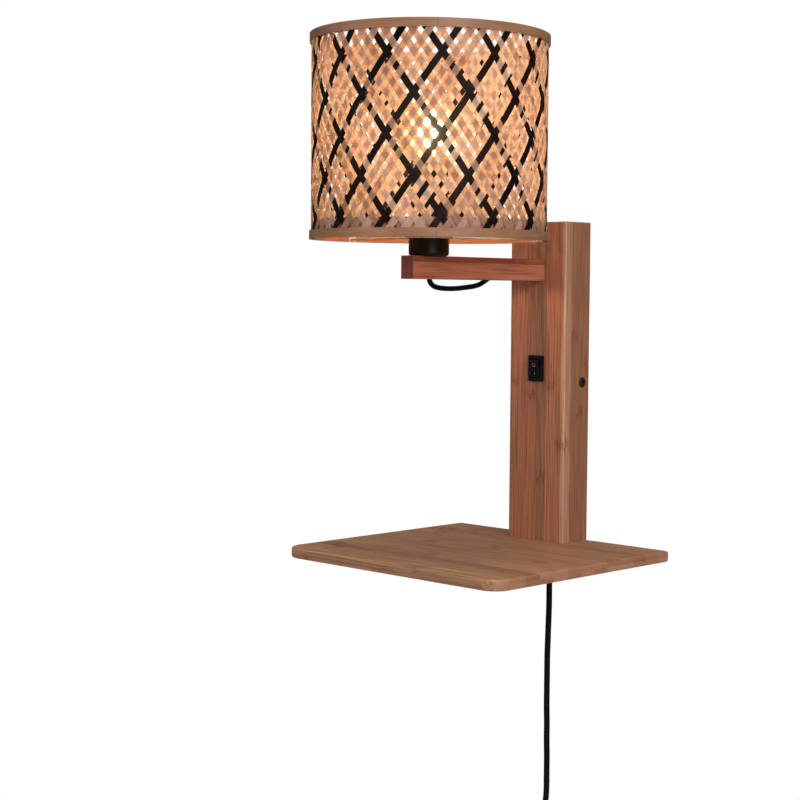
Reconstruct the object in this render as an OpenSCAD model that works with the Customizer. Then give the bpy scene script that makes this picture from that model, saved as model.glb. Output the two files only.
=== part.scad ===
// Wall lamp with a shelf: a laminated bamboo column carries a shelf board at its foot and a
// straight arm near its top. On the arm stands a small lampholder with a woven drum shade.
// Millimetres. X runs to the viewer's right, Y into the wall, Z up. The origin is the centre of
// the two wall screw holes, on the wall plane, level with the two side screws.

/* [Column] */
// Width of the column across the wall
column_w = 58.5; // [54:0.5:80]
// Depth of the column from the wall to its front
column_d = 31.5; // [30:0.5:40]
// Height of the column above the shelf
column_h = 258; // [250:1:320]
// Rounding of the column's edges
column_edge_r = 1.5; // [0.5:0.5:3]
// Wood left in front of the recess in the column's back
front_wall = 11.5; // [9:0.5:12]
// Width of the recess in the column's back
recess_w = 36; // [34:0.5:40]
// Height of the recess above the arm
recess_above_arm = 9; // [4:0.5:15]

/* [Shelf] */
// Width of the shelf board
shelf_w = 226; // [160:1:320]
// Depth of the shelf board from the wall
shelf_d = 203; // [120:1:260]
// Thickness of the shelf board
shelf_t = 8.5; // [7:0.5:18]
// Radius of the shelf's two front corners in plan
shelf_corner_r = 15; // [6:1:40]
// Rounding of the shelf's edges
shelf_edge_r = 2; // [0.5:0.5:3]
// Distance between the two screws that hold the shelf
shelf_screw_pitch = 34; // [28:1:40]

/* [Arm] */
// Width of the arm
arm_w = 13.5; // [12.5:0.5:20]
// Height of the arm
arm_h = 17.5; // [16.5:0.5:24]
// Reach of the arm in front of the column
arm_reach = 149; // [146:1:200]
// Top of the arm below the column's top
arm_drop = 30; // [24:1:45]
// Depth of the arm's housing in the column's front
arm_housing = 5; // [3:0.5:7]
// Rounding of the arm's edges
arm_edge_r = 0.8; // [0.4:0.1:2]

/* [Lampholder and bulb] */
// Distance from the column's front to the lamp's axis
lamp_reach = 126; // [115:1:128]
// Outer diameter of the holder's cap
holder_d = 30.5; // [30:0.5:34]
// Height of the holder's cap
holder_cap_h = 13; // [11:0.5:18]
// Height of the whole holder above the arm
holder_h = 64.5; // [62:0.5:72]
// Diameter of the holder's threaded skirt
skirt_d = 28.4; // [27.8:0.2:28.6]
// Wall of the holder's skirt
skirt_wall = 1.8; // [1.2:0.1:1.8]
// Diameter of the bulb's globe
bulb_d = 45; // [40:1:50]
// Length of the bulb from its tip contact to its top
bulb_l = 78; // [76:1:86]
// Outer diameter of the bulb's screw cap
bulb_cap_d = 13.6; // [13:0.1:13.8]

/* [Woven shade] */
// Outer diameter of the shade at its hoops
shade_d = 180; // [140:1:240]
// Height of the shade
shade_h = 152; // [120:1:180]
// Bottom of the shade above the arm
shade_lift = 11.7; // [8:0.1:12.5]
// Thickness of a hoop
hoop_t = 1.2; // [0.8:0.1:2]
// Height of the outer hoops
outer_hoop_h = 6.4; // [4:0.1:12]
// Height of the inner hoops
inner_hoop_h = 14; // [8:0.5:20]
// Strips in each direction
strip_count = 56; // [28:4:64]
// Every how many strips one is black
black_every = 4; // [2:1:8]
// Width of a strip
strip_w = 4.3; // [3:0.1:6]
// Thickness of a strip
strip_t = 0.6; // [0.4:0.1:0.9]
// Angle that a strip turns round the shade for each millimetre of height
strip_lean = 0.4495; // [0.2:0.01:0.6]
// Direction of a black crossing, in degrees round the shade from +X
weave_turn = -40.3; // [-60:0.1:0]

/* [Switch] */
// Height of the switch's centre above the side screws
switch_z = 11; // [0:1:60]
// Width of the switch's bezel
bezel_w = 15; // [14.6:0.2:16]
// Height of the switch's bezel
bezel_h = 21; // [20.6:0.2:24]
// Thickness of the bezel in front of the column
bezel_t = 2; // [1.6:0.1:3]
// Angle from one stop of the rocker to the other
rocker_travel = 22; // [14:1:24]

/* [Wall bracket] */
// Distance between the two wall screw holes
wall_screw_pitch = 40; // [36:1:50]
// Diameter of the wall screw holes
wall_screw_hole_d = 4.5; // [3.5:0.1:5.5]
// Thickness of the bracket's steel
bracket_t = 1.5; // [1:0.1:2]
// Diameter of the side screws' heads
side_head_d = 7.8; // [7:0.2:8.6]
// Distance of the side screws from the wall
side_screw_y = 9; // [7:0.5:11]

/* [Cables] */
// Diameter of the mains cord
cord_d = 5; // [4.8:0.1:5.1]
// Diameter of the cable on the arm
arm_cable_d = 4; // [3.6:0.1:4.2]

/* [Hidden] */

$fn = 72;
bit = 0.01;           // overshoot of a cutting solid past the face it cuts
seat_gap = 0.1;       // clearance between two pieces that seat on each other
slip_gap = 0.3;       // clearance round a piece that is slipped into place

// Levels and places that several pieces share
column_top = column_h / 2;
column_foot = -column_h / 2;
column_front = -column_d;
recess_floor = -(column_d - front_wall);
arm_top = column_top - arm_drop;
arm_foot = arm_top - arm_h;
arm_end = column_front - arm_reach;
lamp_y = column_front - lamp_reach;
shelf_foot = column_foot - shelf_t;
recess_top = arm_top + recess_above_arm;

// Bamboo colours
bamboo = [0.58, 0.36, 0.24];
bamboo_light = [0.66, 0.45, 0.31];
black_plastic = [0.06, 0.06, 0.06];
brass = [0.78, 0.62, 0.30];
steel = [0.62, 0.62, 0.64];

// ---------------------------------------------------------------- shared shapes

// A flat rectangle with rounded corners, centred
module round_rect(w, h, r) {
    square([w - 2 * r, h], center = true);
    square([w, h - 2 * r], center = true);
    for (x = [-1, 1], y = [-1, 1])
        translate([x * (w / 2 - r), y * (h / 2 - r)]) circle(r);
}

// A cylinder along Y from y0 to y1
module rod_y(r, y0, y1, x = 0, z = 0) {
    translate([x, y0, z]) rotate([-90, 0, 0]) cylinder(r = r, h = y1 - y0);
}

// A round tube standing on z = 0
module ring(r_out, r_in, h) {
    difference() {
        cylinder(r = r_out, h = h);
        translate([0, 0, -bit]) cylinder(r = r_in, h = h + 2 * bit);
    }
}

// A cross recess, cut into a head from z = 0 downwards
module cross_recess(size, deep) {
    for (a = [0, 90])
        rotate(a) translate([-size / 2, -size / 8, -deep]) cube([size, size / 4, deep + bit]);
}

// A pan-head screw along -Z whose head stands on z = 0
module pan_screw(shank_r, shank_l, head_r, head_h) {
    translate([0, 0, -shank_l]) cylinder(r = shank_r, h = shank_l + bit);
    difference() {
        rotate_extrude() {
            square([head_r, head_h / 2]);
            square([head_r - head_h / 2, head_h]);
            translate([head_r - head_h / 2, head_h / 2]) circle(head_h / 2, $fn = 48);
        }
        translate([0, 0, head_h]) cross_recess(head_r * 1.2, head_h / 2);
        translate([0, 0, -head_h]) cylinder(r = head_r + 1, h = head_h);
    }
}

function unit(v) = v / norm(v);
function mix(a, b, t) = a + (b - a) * t;

// A smooth curve through the given points, with a number of steps between each two
function smooth_route(p, steps) = [
    for (i = [0:len(p) - 2], s = [0:steps - 1])
        let (a = p[max(i - 1, 0)], b = p[i], c = p[i + 1], d = p[min(i + 2, len(p) - 1)],
            t = s / steps)
        0.5 * (2 * b + (c - a) * t + (2 * a - 5 * b + 4 * c - d) * pow(t, 2)
            + (3 * b - a - 3 * c + d) * pow(t, 3)),
    p[len(p) - 1]];

// A tube along a route. across is a direction that the route never follows.
module swept_tube(route, r, sides, across) {
    n = len(route);
    rings = [
        for (i = [0:n - 1])
            let (t = unit(route[min(i + 1, n - 1)] - route[max(i - 1, 0)]),
                u = unit(cross(t, across)), v = cross(t, u))
            for (k = [0:sides - 1])
                route[i] + r * (cos(360 * k / sides) * u + sin(360 * k / sides) * v)];
    walls = [
        for (i = [0:n - 2], k = [0:sides - 1])
            let (a = i * sides + k, b = i * sides + (k + 1) % sides)
            for (f = [[a, a + sides, b + sides], [a, b + sides, b]]) f];
    last = (n - 1) * sides;
    ends = [
        for (k = [1:sides - 2])
            for (f = [[0, k, k + 1], [last, last + k + 1, last + k]]) f];
    polyhedron(points = rings, faces = concat(walls, ends), convexity = 10);
}

// ---------------------------------------------------------------- column

switch_cut_w = bezel_w - 2;                 // opening in the column for the switch's body
switch_cut_h = bezel_h - 2;
switch_panel = 3;                           // wood left behind the bezel for the snap wings
switch_pocket_w = switch_cut_w + 4;
switch_pocket_h = switch_cut_h + 4;
cord_y = -12.5;                             // the mains cord's distance from the wall
lead_floor = cord_y - cord_d / 2 - 0.15;    // floor of the cord's channel
clamp_z = column_foot + 43;                 // level of the cord clamp
clamp_pocket_w = 28;
clamp_pocket_h = 25;
lead_channel_w = cord_d + 2;
recess_foot = clamp_z + clamp_pocket_h / 2;
arm_screw_z = arm_top - 5;
arm_screw_r = 1.9;
arm_bore_z = arm_foot + 5;
arm_bore_r = arm_cable_d / 2 + 1;
shelf_screw_r = 1.95;
shelf_screw_y = -16;
shelf_screw_grip = 27;                      // length of the shelf's screws inside the column
side_screw_r = 1.95;
side_sink = 1.5;                            // depth of the side screws' counterbores
clamp_screw_r = 1.3;
clamp_screw_x = 9;
block_z = -46;                              // level of the terminal block
block_screw_r = 1.4;

module column() {
    color(bamboo) difference() {
        intersection() {
            translate([0, -column_d / 2, column_foot]) linear_extrude(column_h)
                round_rect(column_w, column_d, column_edge_r);
            // eased edges round the top
            translate([0, column_edge_r, 0]) rotate([90, 0, 0])
                linear_extrude(column_d + 2 * column_edge_r) eased_top(column_w);
            translate([-column_w, 0, 0]) rotate([90, 0, 90])
                linear_extrude(2 * column_w) translate([-column_d / 2, 0]) eased_top(column_d);
        }
        // recess for the bracket, the switch and the wiring
        translate([-recess_w / 2, recess_floor, recess_foot - bit])
            cube([recess_w, -recess_floor + 1, recess_top - recess_foot]);
        translate([-clamp_pocket_w / 2, lead_floor, clamp_z - clamp_pocket_h / 2])
            cube([clamp_pocket_w, 1 - lead_floor, clamp_pocket_h]);
        translate([-lead_channel_w / 2, lead_floor, column_foot - 1])
            cube([lead_channel_w, 1 - lead_floor, clamp_z - column_foot]);
        // opening and pocket of the switch
        translate([-switch_cut_w / 2, column_front - 1, switch_z - switch_cut_h / 2])
            cube([switch_cut_w, column_d, switch_cut_h]);
        translate([-switch_pocket_w / 2, column_front + switch_panel,
                switch_z - switch_pocket_h / 2])
            cube([switch_pocket_w, column_d, switch_pocket_h]);
        // housing of the arm, its screw and its cable
        translate([-arm_w / 2 - seat_gap, column_front - 1, arm_foot - seat_gap])
            cube([arm_w + 2 * seat_gap, arm_housing + 1, arm_h + 2 * seat_gap]);
        rod_y(arm_screw_r + seat_gap, column_front, recess_floor + 1, z = arm_screw_z);
        rod_y(arm_bore_r, column_front, recess_floor + 1, z = arm_bore_z);
        // side screws
        for (s = [-1, 1]) scale([s, 1, 1]) {
            translate([recess_w / 2 - 1, -side_screw_y, 0]) rotate([0, 90, 0])
                cylinder(r = side_screw_r + slip_gap / 2, h = column_w);
            translate([column_w / 2 - side_sink, -side_screw_y, 0]) rotate([0, 90, 0])
                cylinder(r = side_head_d / 2 + slip_gap, h = column_w);
        }
        // pilot holes of the shelf's screws, the clamp's screws and the terminal block's screw
        for (s = [-1, 1]) {
            translate([s * shelf_screw_pitch / 2, shelf_screw_y, column_foot - 1])
                cylinder(r = shelf_screw_r + seat_gap, h = shelf_screw_grip + 2);
            rod_y(clamp_screw_r + seat_gap, lead_floor - 9, lead_floor + 1,
                x = s * clamp_screw_x, z = clamp_z);
        }
        rod_y(block_screw_r + seat_gap, recess_floor - 8, recess_floor + 1, z = block_z);
    }
}

// The column's outline seen along a horizontal axis, with its two upper edges eased
module eased_top(w) {
    translate([-w / 2, column_foot - 1]) square([w, column_h + 1 - column_edge_r]);
    translate([0, column_top - column_edge_r])
        square([w - 2 * column_edge_r, 2 * column_edge_r], center = true);
    for (s = [-1, 1])
        translate([s * (w / 2 - column_edge_r), column_top - column_edge_r])
            circle(column_edge_r);
}

// ---------------------------------------------------------------- shelf

gland_shank_r = cord_d / 2 + 1.5;
gland_flange_r = gland_shank_r + 2.5;
gland_flange_t = 1.5;
gland_bore_r = cord_d / 2 + 0.15;
gland_taper_l = 20;
gland_tip = shelf_foot - gland_flange_t - gland_taper_l;
screw_head_r = 4;
screw_head_h = 2.4;

module shelf_board() {
    color(bamboo_light) difference() {
        hull() for (s = [-1, 1]) {
            translate([s * (shelf_w / 2 - shelf_corner_r), -shelf_d + shelf_corner_r, shelf_foot])
                eased_disc(shelf_corner_r);
            translate([s * (shelf_w / 2 - shelf_edge_r * 2), -shelf_edge_r * 2, shelf_foot])
                eased_disc(shelf_edge_r * 2);
        }
        translate([0, cord_y, shelf_foot - 1])
            cylinder(r = gland_shank_r + seat_gap, h = shelf_t + 2);
        for (s = [-1, 1])
            translate([s * shelf_screw_pitch / 2, shelf_screw_y, shelf_foot]) {
                translate([0, 0, -1]) cylinder(r = shelf_screw_r + seat_gap, h = shelf_t + 2);
                countersink(screw_head_r + seat_gap, screw_head_h + seat_gap);
            }
    }
}

// A disc of the shelf's thickness with both edges rounded
module eased_disc(r) {
    rotate_extrude($fn = 48) {
        square([r - shelf_edge_r, shelf_t]);
        translate([0, shelf_edge_r]) square([r, shelf_t - 2 * shelf_edge_r]);
        for (z = [shelf_edge_r, shelf_t - shelf_edge_r])
            translate([r - shelf_edge_r, z]) circle(shelf_edge_r, $fn = 24);
    }
}

module countersink(r, h) {
    translate([0, 0, -bit]) cylinder(r1 = r, r2 = shelf_screw_r, h = h);
}

module shelf_screws() {
    color(steel) for (s = [-1, 1])
        translate([s * shelf_screw_pitch / 2, shelf_screw_y, shelf_foot]) difference() {
            union() {
                cylinder(r1 = screw_head_r, r2 = shelf_screw_r, h = screw_head_h);
                cylinder(r = shelf_screw_r, h = shelf_t + shelf_screw_grip - 2);
                translate([0, 0, shelf_t + shelf_screw_grip - 2])
                    cylinder(r1 = shelf_screw_r, r2 = 0.4, h = 3);
            }
            rotate([180, 0, 0]) cross_recess(screw_head_r * 1.2, screw_head_h / 2);
        }
}

// ---------------------------------------------------------------- arm

arm_hole_r = arm_cable_d / 2 + 2;           // upright hole under the holder
arm_loop_l = 64;                            // length of the cable's loop below the arm
arm_mouth_y = lamp_y + arm_loop_l;          // where the cable goes back into the arm
arm_mouth_slope = 27;                       // climb of the cable there, in degrees
holder_screw_offset = 8;
holder_screw_r = 1.4;
holder_screw_l = 14;

module lamp_arm() {
    arm_l = arm_reach + arm_housing;
    color(bamboo) difference() {
        intersection() {
            translate([0, column_front + arm_housing - seat_gap, (arm_top + arm_foot) / 2])
                rotate([90, 0, 0]) linear_extrude(arm_l - seat_gap)
                    round_rect(arm_w, arm_h, arm_edge_r);
            // eased edges round the free end
            translate([0, 0, arm_foot - 1]) linear_extrude(arm_h + 2) eased_end(arm_w);
            translate([arm_w, 0, (arm_top + arm_foot) / 2]) rotate([0, -90, 0])
                linear_extrude(2 * arm_w) eased_end(arm_h);
        }
        translate([0, lamp_y, arm_foot - 1]) cylinder(r = arm_hole_r, h = arm_h + 2);
        translate([0, lamp_y, arm_foot - bit])
            cylinder(r1 = arm_hole_r + 1.5, r2 = arm_hole_r, h = 1.5);
        for (s = [-1, 1])
            translate([0, lamp_y + s * holder_screw_offset, arm_top - holder_screw_l])
                cylinder(r = holder_screw_r + seat_gap, h = holder_screw_l + 1);
        // the cable's way back to the column
        translate([0, arm_mouth_y, arm_foot]) rotate([arm_mouth_slope - 90, 0, 0])
            translate([0, 0, -8]) cylinder(r = arm_bore_r, h = 9 + 5 / sin(arm_mouth_slope));
        rod_y(arm_bore_r, arm_mouth_y + 5 / tan(arm_mouth_slope) - 1,
            column_front + arm_housing + 1, z = arm_bore_z);
        rod_y(arm_screw_r + seat_gap, column_front - 22, column_front + arm_housing + 1,
            z = arm_screw_z);
    }
}

// The arm's outline seen across its length, with the edges of its free end eased
module eased_end(w) {
    translate([-w / 2, arm_end + arm_edge_r]) square([w, arm_reach + arm_housing]);
    translate([0, arm_end + arm_edge_r])
        square([w - 2 * arm_edge_r, 2 * arm_edge_r], center = true);
    for (s = [-1, 1])
        translate([s * (w / 2 - arm_edge_r), arm_end + arm_edge_r]) circle(arm_edge_r);
}

module arm_screw() {
    color(steel) translate([0, recess_floor, arm_screw_z]) rotate([-90, 0, 0])
        pan_screw(arm_screw_r, front_wall + 20, 3.7, 2.6);
}

// ---------------------------------------------------------------- wall bracket

bracket_w = recess_w - 2 * slip_gap;
bracket_h = wall_screw_pitch + 22;
ear_h = 18;
ear_reach = side_screw_y + 6;
ear_corner_r = 4;

module wall_bracket() {
    color(steel) difference() {
        union() {
            rotate([90, 0, 0]) linear_extrude(bracket_t) round_rect(bracket_w, bracket_h, 3);
            for (s = [-1, 1])
                translate([s * (bracket_w - bracket_t) / 2 - bracket_t / 2, 0, 0])
                    rotate([90, 0, 90]) linear_extrude(bracket_t) {
                        translate([-ear_reach + ear_corner_r, -ear_h / 2])
                            square([ear_reach - ear_corner_r, ear_h]);
                        translate([-ear_reach, -ear_h / 2 + ear_corner_r])
                            square([ear_reach, ear_h - 2 * ear_corner_r]);
                        for (z = [-1, 1])
                            translate([-ear_reach + ear_corner_r, z * (ear_h / 2 - ear_corner_r)])
                                circle(ear_corner_r);
                    }
        }
        for (z = [-1, 1])
            rod_y(wall_screw_hole_d / 2, -bracket_t - 1, 1, z = z * wall_screw_pitch / 2);
        translate([-bracket_w, -side_screw_y, 0]) rotate([0, 90, 0])
            cylinder(r = side_screw_r + seat_gap / 2, h = 2 * bracket_w);
    }
}

module side_screws() {
    side_screw_l = column_w / 2 - side_sink - recess_w / 2 + slip_gap + bracket_t + 1;
    color(black_plastic) for (s = [0, 180])
        rotate(s) translate([0, s == 0 ? -side_screw_y : side_screw_y, 0])
            translate([column_w / 2 - side_sink, 0, 0]) rotate([0, 90, 0])
                pan_screw(side_screw_r, side_screw_l, side_head_d / 2, 2.2);
}

// ---------------------------------------------------------------- switch

switch_body_w = switch_cut_w - 2 * seat_gap;
switch_body_h = switch_cut_h - 2 * seat_gap;
switch_body_l = 14.5;                       // depth of the body behind the bezel
bezel_front = column_front - bezel_t;
rocker_axis_y = bezel_front + 2;            // the rocker's pivot, just behind the bezel
rocker_w = bezel_w - 5.5;
rocker_r = (bezel_h - 5.6) / 2;
rocker_pin_r = 1;
rocker_slot_w = rocker_w + 0.5;
rocker_slot_h = 2 * rocker_r + 0.5;
rocker_chamber_h = switch_body_h - 1;
tab_w = 4.8;
tab_t = 0.8;
tab_l = 7;
tab_offset = 3.5;

module switch_housing() {
    color(black_plastic) translate([0, 0, switch_z]) {
        difference() {
            union() {
                translate([0, column_front - bezel_t / 2, 0]) rotate([90, 0, 0])
                    translate([0, 0, -bezel_t / 2]) linear_extrude(bezel_t)
                        round_rect(bezel_w, bezel_h, 1);
                translate([-switch_body_w / 2, column_front - bit, -switch_body_h / 2])
                    cube([switch_body_w, switch_body_l, switch_body_h]);
                // snap wings that grip the wood behind the bezel
                for (s = [-1, 1]) scale([s, 1, 1])
                    translate([switch_body_w / 2 - bit, column_front + switch_panel, -3])
                        linear_extrude(6)
                            polygon([[0, seat_gap], [1.2, seat_gap], [0, 5]]);
            }
            // slot and chamber of the rocker
            translate([-rocker_slot_w / 2, bezel_front - 1, -rocker_slot_h / 2])
                cube([rocker_slot_w, 4, rocker_slot_h]);
            translate([-rocker_slot_w / 2, bezel_front + 1, -rocker_chamber_h / 2])
                cube([rocker_slot_w, 9, rocker_chamber_h]);
            translate([-rocker_slot_w / 2 - 1.2, rocker_axis_y, 0]) rotate([0, 90, 0])
                cylinder(r = rocker_pin_r + 0.05, h = rocker_slot_w + 2.4);
        }
    }
}

module switch_rocker() {
    face_dish = 0.9;                        // dip of the face between its two ends
    face_rise = 3.9;                        // height of the face's ends above the pivot
    color(black_plastic) translate([0, rocker_axis_y, switch_z])
        rotate([rocker_travel / 2, 0, 0]) {
            translate([-rocker_w / 2, 0, 0]) rotate([90, 0, 90]) linear_extrude(rocker_w)
                intersection() {
                    circle(rocker_r);
                    polygon([[1.5, -9], [1.5, 9], [-face_rise, 9], [-face_rise, rocker_r * 0.8],
                        [-face_rise + face_dish, 0], [-face_rise, -rocker_r * 0.8],
                        [-face_rise, -9]]);
                }
            translate([-rocker_w / 2 - 1, 0, 0]) rotate([0, 90, 0])
                cylinder(r = rocker_pin_r, h = rocker_w + 2);
            rod_y(1.5, 1, 5.2);
        }
}

module switch_terminals() {
    tab_y = column_front + switch_body_l;
    color(brass) for (s = [-1, 1])
        translate([-tab_w / 2, tab_y, switch_z + s * tab_offset - tab_t / 2])
            difference() {
                cube([tab_w, tab_l, tab_t]);
                translate([tab_w / 2, tab_l - 2.2, -1]) cylinder(r = 0.8, h = 3);
            }
}

// ---------------------------------------------------------------- wiring in the column

block_w = 20;
block_h = 16;
pole_x = 4.8;
pole_r = 4;
pole_y = recess_floor + 6;
block_screw_heads_y = pole_y + 6;
core_r = 0.9;

module terminal_block() {
    color([0.9, 0.9, 0.86]) translate([0, 0, block_z]) difference() {
        union() {
            translate([-block_w / 2, recess_floor, -block_h / 2])
                cube([block_w, 3, block_h]);
            for (s = [-1, 1]) {
                translate([s * pole_x, pole_y, -block_h / 2]) cylinder(r = pole_r, h = block_h);
                translate([s * pole_x - pole_r, recess_floor, -block_h / 2])
                    cube([2 * pole_r, 6, block_h]);
                for (z = [-1, 1])
                    rod_y(2.9, pole_y, block_screw_heads_y, x = s * pole_x, z = z * 4.2);
            }
        }
        for (s = [-1, 1]) {
            translate([s * pole_x, pole_y, -block_h / 2 - 1])
                cylinder(r = core_r + 0.5, h = block_h + 2);
            for (z = [-1, 1])
                rod_y(1.7, pole_y, block_screw_heads_y + 1, x = s * pole_x, z = z * 4.2);
        }
        rod_y(block_screw_r + seat_gap, recess_floor - 1, recess_floor + 7);
    }
}

module terminal_screws() {
    color(brass) {
        for (s = [-1, 1], z = [-1, 1]) difference() {
            rod_y(1.6, pole_y + core_r + 0.2, block_screw_heads_y - 1,
                x = s * pole_x, z = block_z + z * 4.2);
            translate([s * pole_x - 0.25, block_screw_heads_y - 2, block_z + z * 4.2 - 2])
                cube([0.5, 2, 4]);
        }
        // the screw that holds the block in the recess, between the two poles
        translate([0, recess_floor + 3, block_z]) rotate([-90, 0, 0]) {
            translate([0, 0, -9]) cylinder(r = block_screw_r, h = 9 + bit);
            cylinder(r = 0.75 * block_screw_r, h = 1.2);
        }
    }
}

clamp_w = 25;
clamp_t = 2.5;
clamp_h = 8;

module cord_clamp() {
    color([0.85, 0.85, 0.82]) translate([0, 0, clamp_z - clamp_h / 2]) difference() {
        linear_extrude(clamp_h) {
            translate([-clamp_w / 2, lead_floor]) square([clamp_w, clamp_t]);
            translate([0, cord_y]) circle(cord_d / 2 + 2);
        }
        translate([0, cord_y, -1]) cylinder(r = cord_d / 2 + 0.05, h = clamp_h + 2);
        translate([-cord_d / 2, lead_floor - 5, -1]) cube([cord_d, 5 + clamp_t, clamp_h + 2]);
        translate([-clamp_w, lead_floor - 10, -1]) cube([2 * clamp_w, 10, clamp_h + 2]);
        for (s = [-1, 1])
            rod_y(clamp_screw_r + seat_gap, lead_floor - 1, lead_floor + clamp_t + 1,
                x = s * clamp_screw_x, z = clamp_h / 2);
    }
}

module clamp_screws() {
    color(steel) for (s = [-1, 1])
        translate([s * clamp_screw_x, lead_floor + clamp_t, clamp_z]) rotate([-90, 0, 0])
            pan_screw(clamp_screw_r, clamp_t + 8, 2.5, 1.8);
}

module cord_gland() {
    color(black_plastic) translate([0, cord_y, gland_tip]) difference() {
        union() {
            cylinder(r1 = gland_bore_r + 0.8, r2 = gland_shank_r, h = gland_taper_l);
            translate([0, 0, gland_taper_l]) cylinder(r = gland_flange_r, h = gland_flange_t);
            translate([0, 0, gland_taper_l + gland_flange_t - bit])
                cylinder(r = gland_shank_r, h = shelf_t - 0.5);
        }
        translate([0, 0, -1]) cylinder(r = gland_bore_r, h = gland_taper_l + shelf_t + 5);
    }
}

lead_end = clamp_z + 20;                    // where the cord's jacket ends in the recess

module mains_lead() {
    color(black_plastic) translate([0, cord_y, gland_tip])
        cylinder(r = cord_d / 2, h = lead_end - gland_tip);
}

// Ends of the cable's jacket: above the arm in the holder, and below its bore in the recess
jacket_rise = 8;
jacket_drop = 38;
jacket_top = arm_top + jacket_rise;
jacket_foot = arm_bore_z - jacket_drop;
core_split = 1;                             // half the distance of two cores in a jacket
arm_cable_y = recess_floor + 12;            // where the cable runs down the recess
insert_rise = 28;                           // height of the wiring space in the holder
insert_foot = arm_top + insert_rise;
block_top = block_z + block_h / 2;
block_foot = block_z - block_h / 2;
tab_side = tab_w / 2;
tab_end_y = column_front + switch_body_l + tab_l - 1.4;

// Each core leaves straight from what it is held by, and is smooth between
function core_route(p) = concat([p[0]],
    smooth_route([for (i = [1:len(p) - 2]) p[i]], 3), [p[len(p) - 1]]);

brown_routes = [
    [[-core_split, cord_y, lead_end], [-core_split, cord_y, lead_end + 2],
        [-core_split - 0.5, cord_y, lead_end + 4], [-pole_x, pole_y, block_foot - 3],
        [-pole_x, pole_y, block_foot]],
    [[-pole_x, pole_y, block_top], [-pole_x, pole_y, block_top + 3], [-9, pole_y, -24],
        [-10, pole_y, -8], [-8, tab_end_y, switch_z - tab_offset - 3],
        [-4.5, tab_end_y, switch_z - tab_offset], [-tab_side, tab_end_y, switch_z - tab_offset]],
    [[-core_split, arm_cable_y, jacket_foot], [-core_split, arm_cable_y, jacket_foot - 2],
        [-core_split - 0.5, arm_cable_y, jacket_foot - 4],
        [-6, arm_cable_y, jacket_foot - 12], [-8, tab_end_y, switch_z + tab_offset + 8],
        [-7, tab_end_y, switch_z + tab_offset + 2], [-4.5, tab_end_y, switch_z + tab_offset],
        [-tab_side, tab_end_y, switch_z + tab_offset]],
    [[-core_split, lamp_y, jacket_top], [-core_split, lamp_y, jacket_top + 2],
        [-core_split - 0.5, lamp_y, jacket_top + 4], [-4, lamp_y, insert_foot - 4],
        [-4, lamp_y, insert_foot]]];
blue_routes = [
    [[core_split, cord_y, lead_end], [core_split, cord_y, lead_end + 2],
        [core_split + 0.5, cord_y, lead_end + 4], [pole_x, pole_y, block_foot - 3],
        [pole_x, pole_y, block_foot]],
    [[pole_x, pole_y, block_top], [pole_x, pole_y, block_top + 3], [11, pole_y, -24],
        [12, pole_y, 0], [11, arm_cable_y - 2, 24], [6, arm_cable_y, jacket_foot - 12],
        [core_split + 0.5, arm_cable_y, jacket_foot - 4],
        [core_split, arm_cable_y, jacket_foot - 2], [core_split, arm_cable_y, jacket_foot]],
    [[core_split, lamp_y, jacket_top], [core_split, lamp_y, jacket_top + 2],
        [core_split + 0.5, lamp_y, jacket_top + 4], [4, lamp_y, insert_foot - 4],
        [4, lamp_y, insert_foot]]];

module brown_cores() {
    color([0.35, 0.18, 0.08])
        for (p = brown_routes) swept_tube(core_route(p), core_r, 8, [0, 1, 0]);
}

module blue_cores() {
    color([0.1, 0.25, 0.6])
        for (p = blue_routes) swept_tube(core_route(p), core_r, 8, [0, 1, 0]);
}

// The cable of the lamp: down through the arm, in a short loop under it and back inside it
arm_cable_route = [
    [0, lamp_y, jacket_top],
    [0, lamp_y, arm_top],
    [0, lamp_y, arm_foot + 8],
    [0, lamp_y + 0.1, arm_foot + 4],
    [0, lamp_y + 0.7, arm_foot],
    [0, lamp_y + 2.4, arm_foot - 3],
    [0, lamp_y + 5.6, arm_foot - 5.1],
    [0, lamp_y + 10.5, arm_foot - 6.2],
    [0, lamp_y + 17, arm_foot - 6.8],
    [0, lamp_y + 24, arm_foot - 6.9],
    [0, lamp_y + 32, arm_foot - 6.6],
    [0, lamp_y + 41, arm_foot - 5.8],
    [0, lamp_y + 50, arm_foot - 4.8],
    [0, lamp_y + 57, arm_foot - 3.2],
    [0, arm_mouth_y, arm_foot],
    [0, arm_mouth_y + 6, arm_foot + 3],
    [0, arm_mouth_y + 11, arm_bore_z - 0.4],
    [0, arm_mouth_y + 17, arm_bore_z],
    [0, column_front - 25, arm_bore_z],
    [0, column_front, arm_bore_z],
    [0, recess_floor - 3.5, arm_bore_z],
    [0, recess_floor + 4, arm_bore_z - 1.8],
    [0, recess_floor + 9.2, arm_bore_z - 7],
    [0, recess_floor + 11.6, arm_bore_z - 14],
    [0, arm_cable_y, arm_bore_z - 21],
    [0, arm_cable_y, jacket_foot]];

module arm_cable() {
    color(black_plastic)
        swept_tube(smooth_route(arm_cable_route, 2), arm_cable_d / 2, 12, [1, 0, 0]);
}

// ---------------------------------------------------------------- lampholder

cap_wall = 2;
cap_floor = 2.5;
cap_round = 2;
skirt_r = skirt_d / 2;
skirt_bore_r = skirt_r - skirt_wall;
skirt_foot = arm_top + 5;
bulb_tip = arm_top + holder_h - 27;         // underside of the bulb's tip contact
shell_r = bulb_cap_d / 2 + 0.5;
shell_t = 0.6;
shell_l = 20;
insert_r = skirt_bore_r - 0.2;
insert_top = bulb_tip + 19;

module on_lamp_axis(z) {
    translate([0, lamp_y, z]) children();
}

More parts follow.
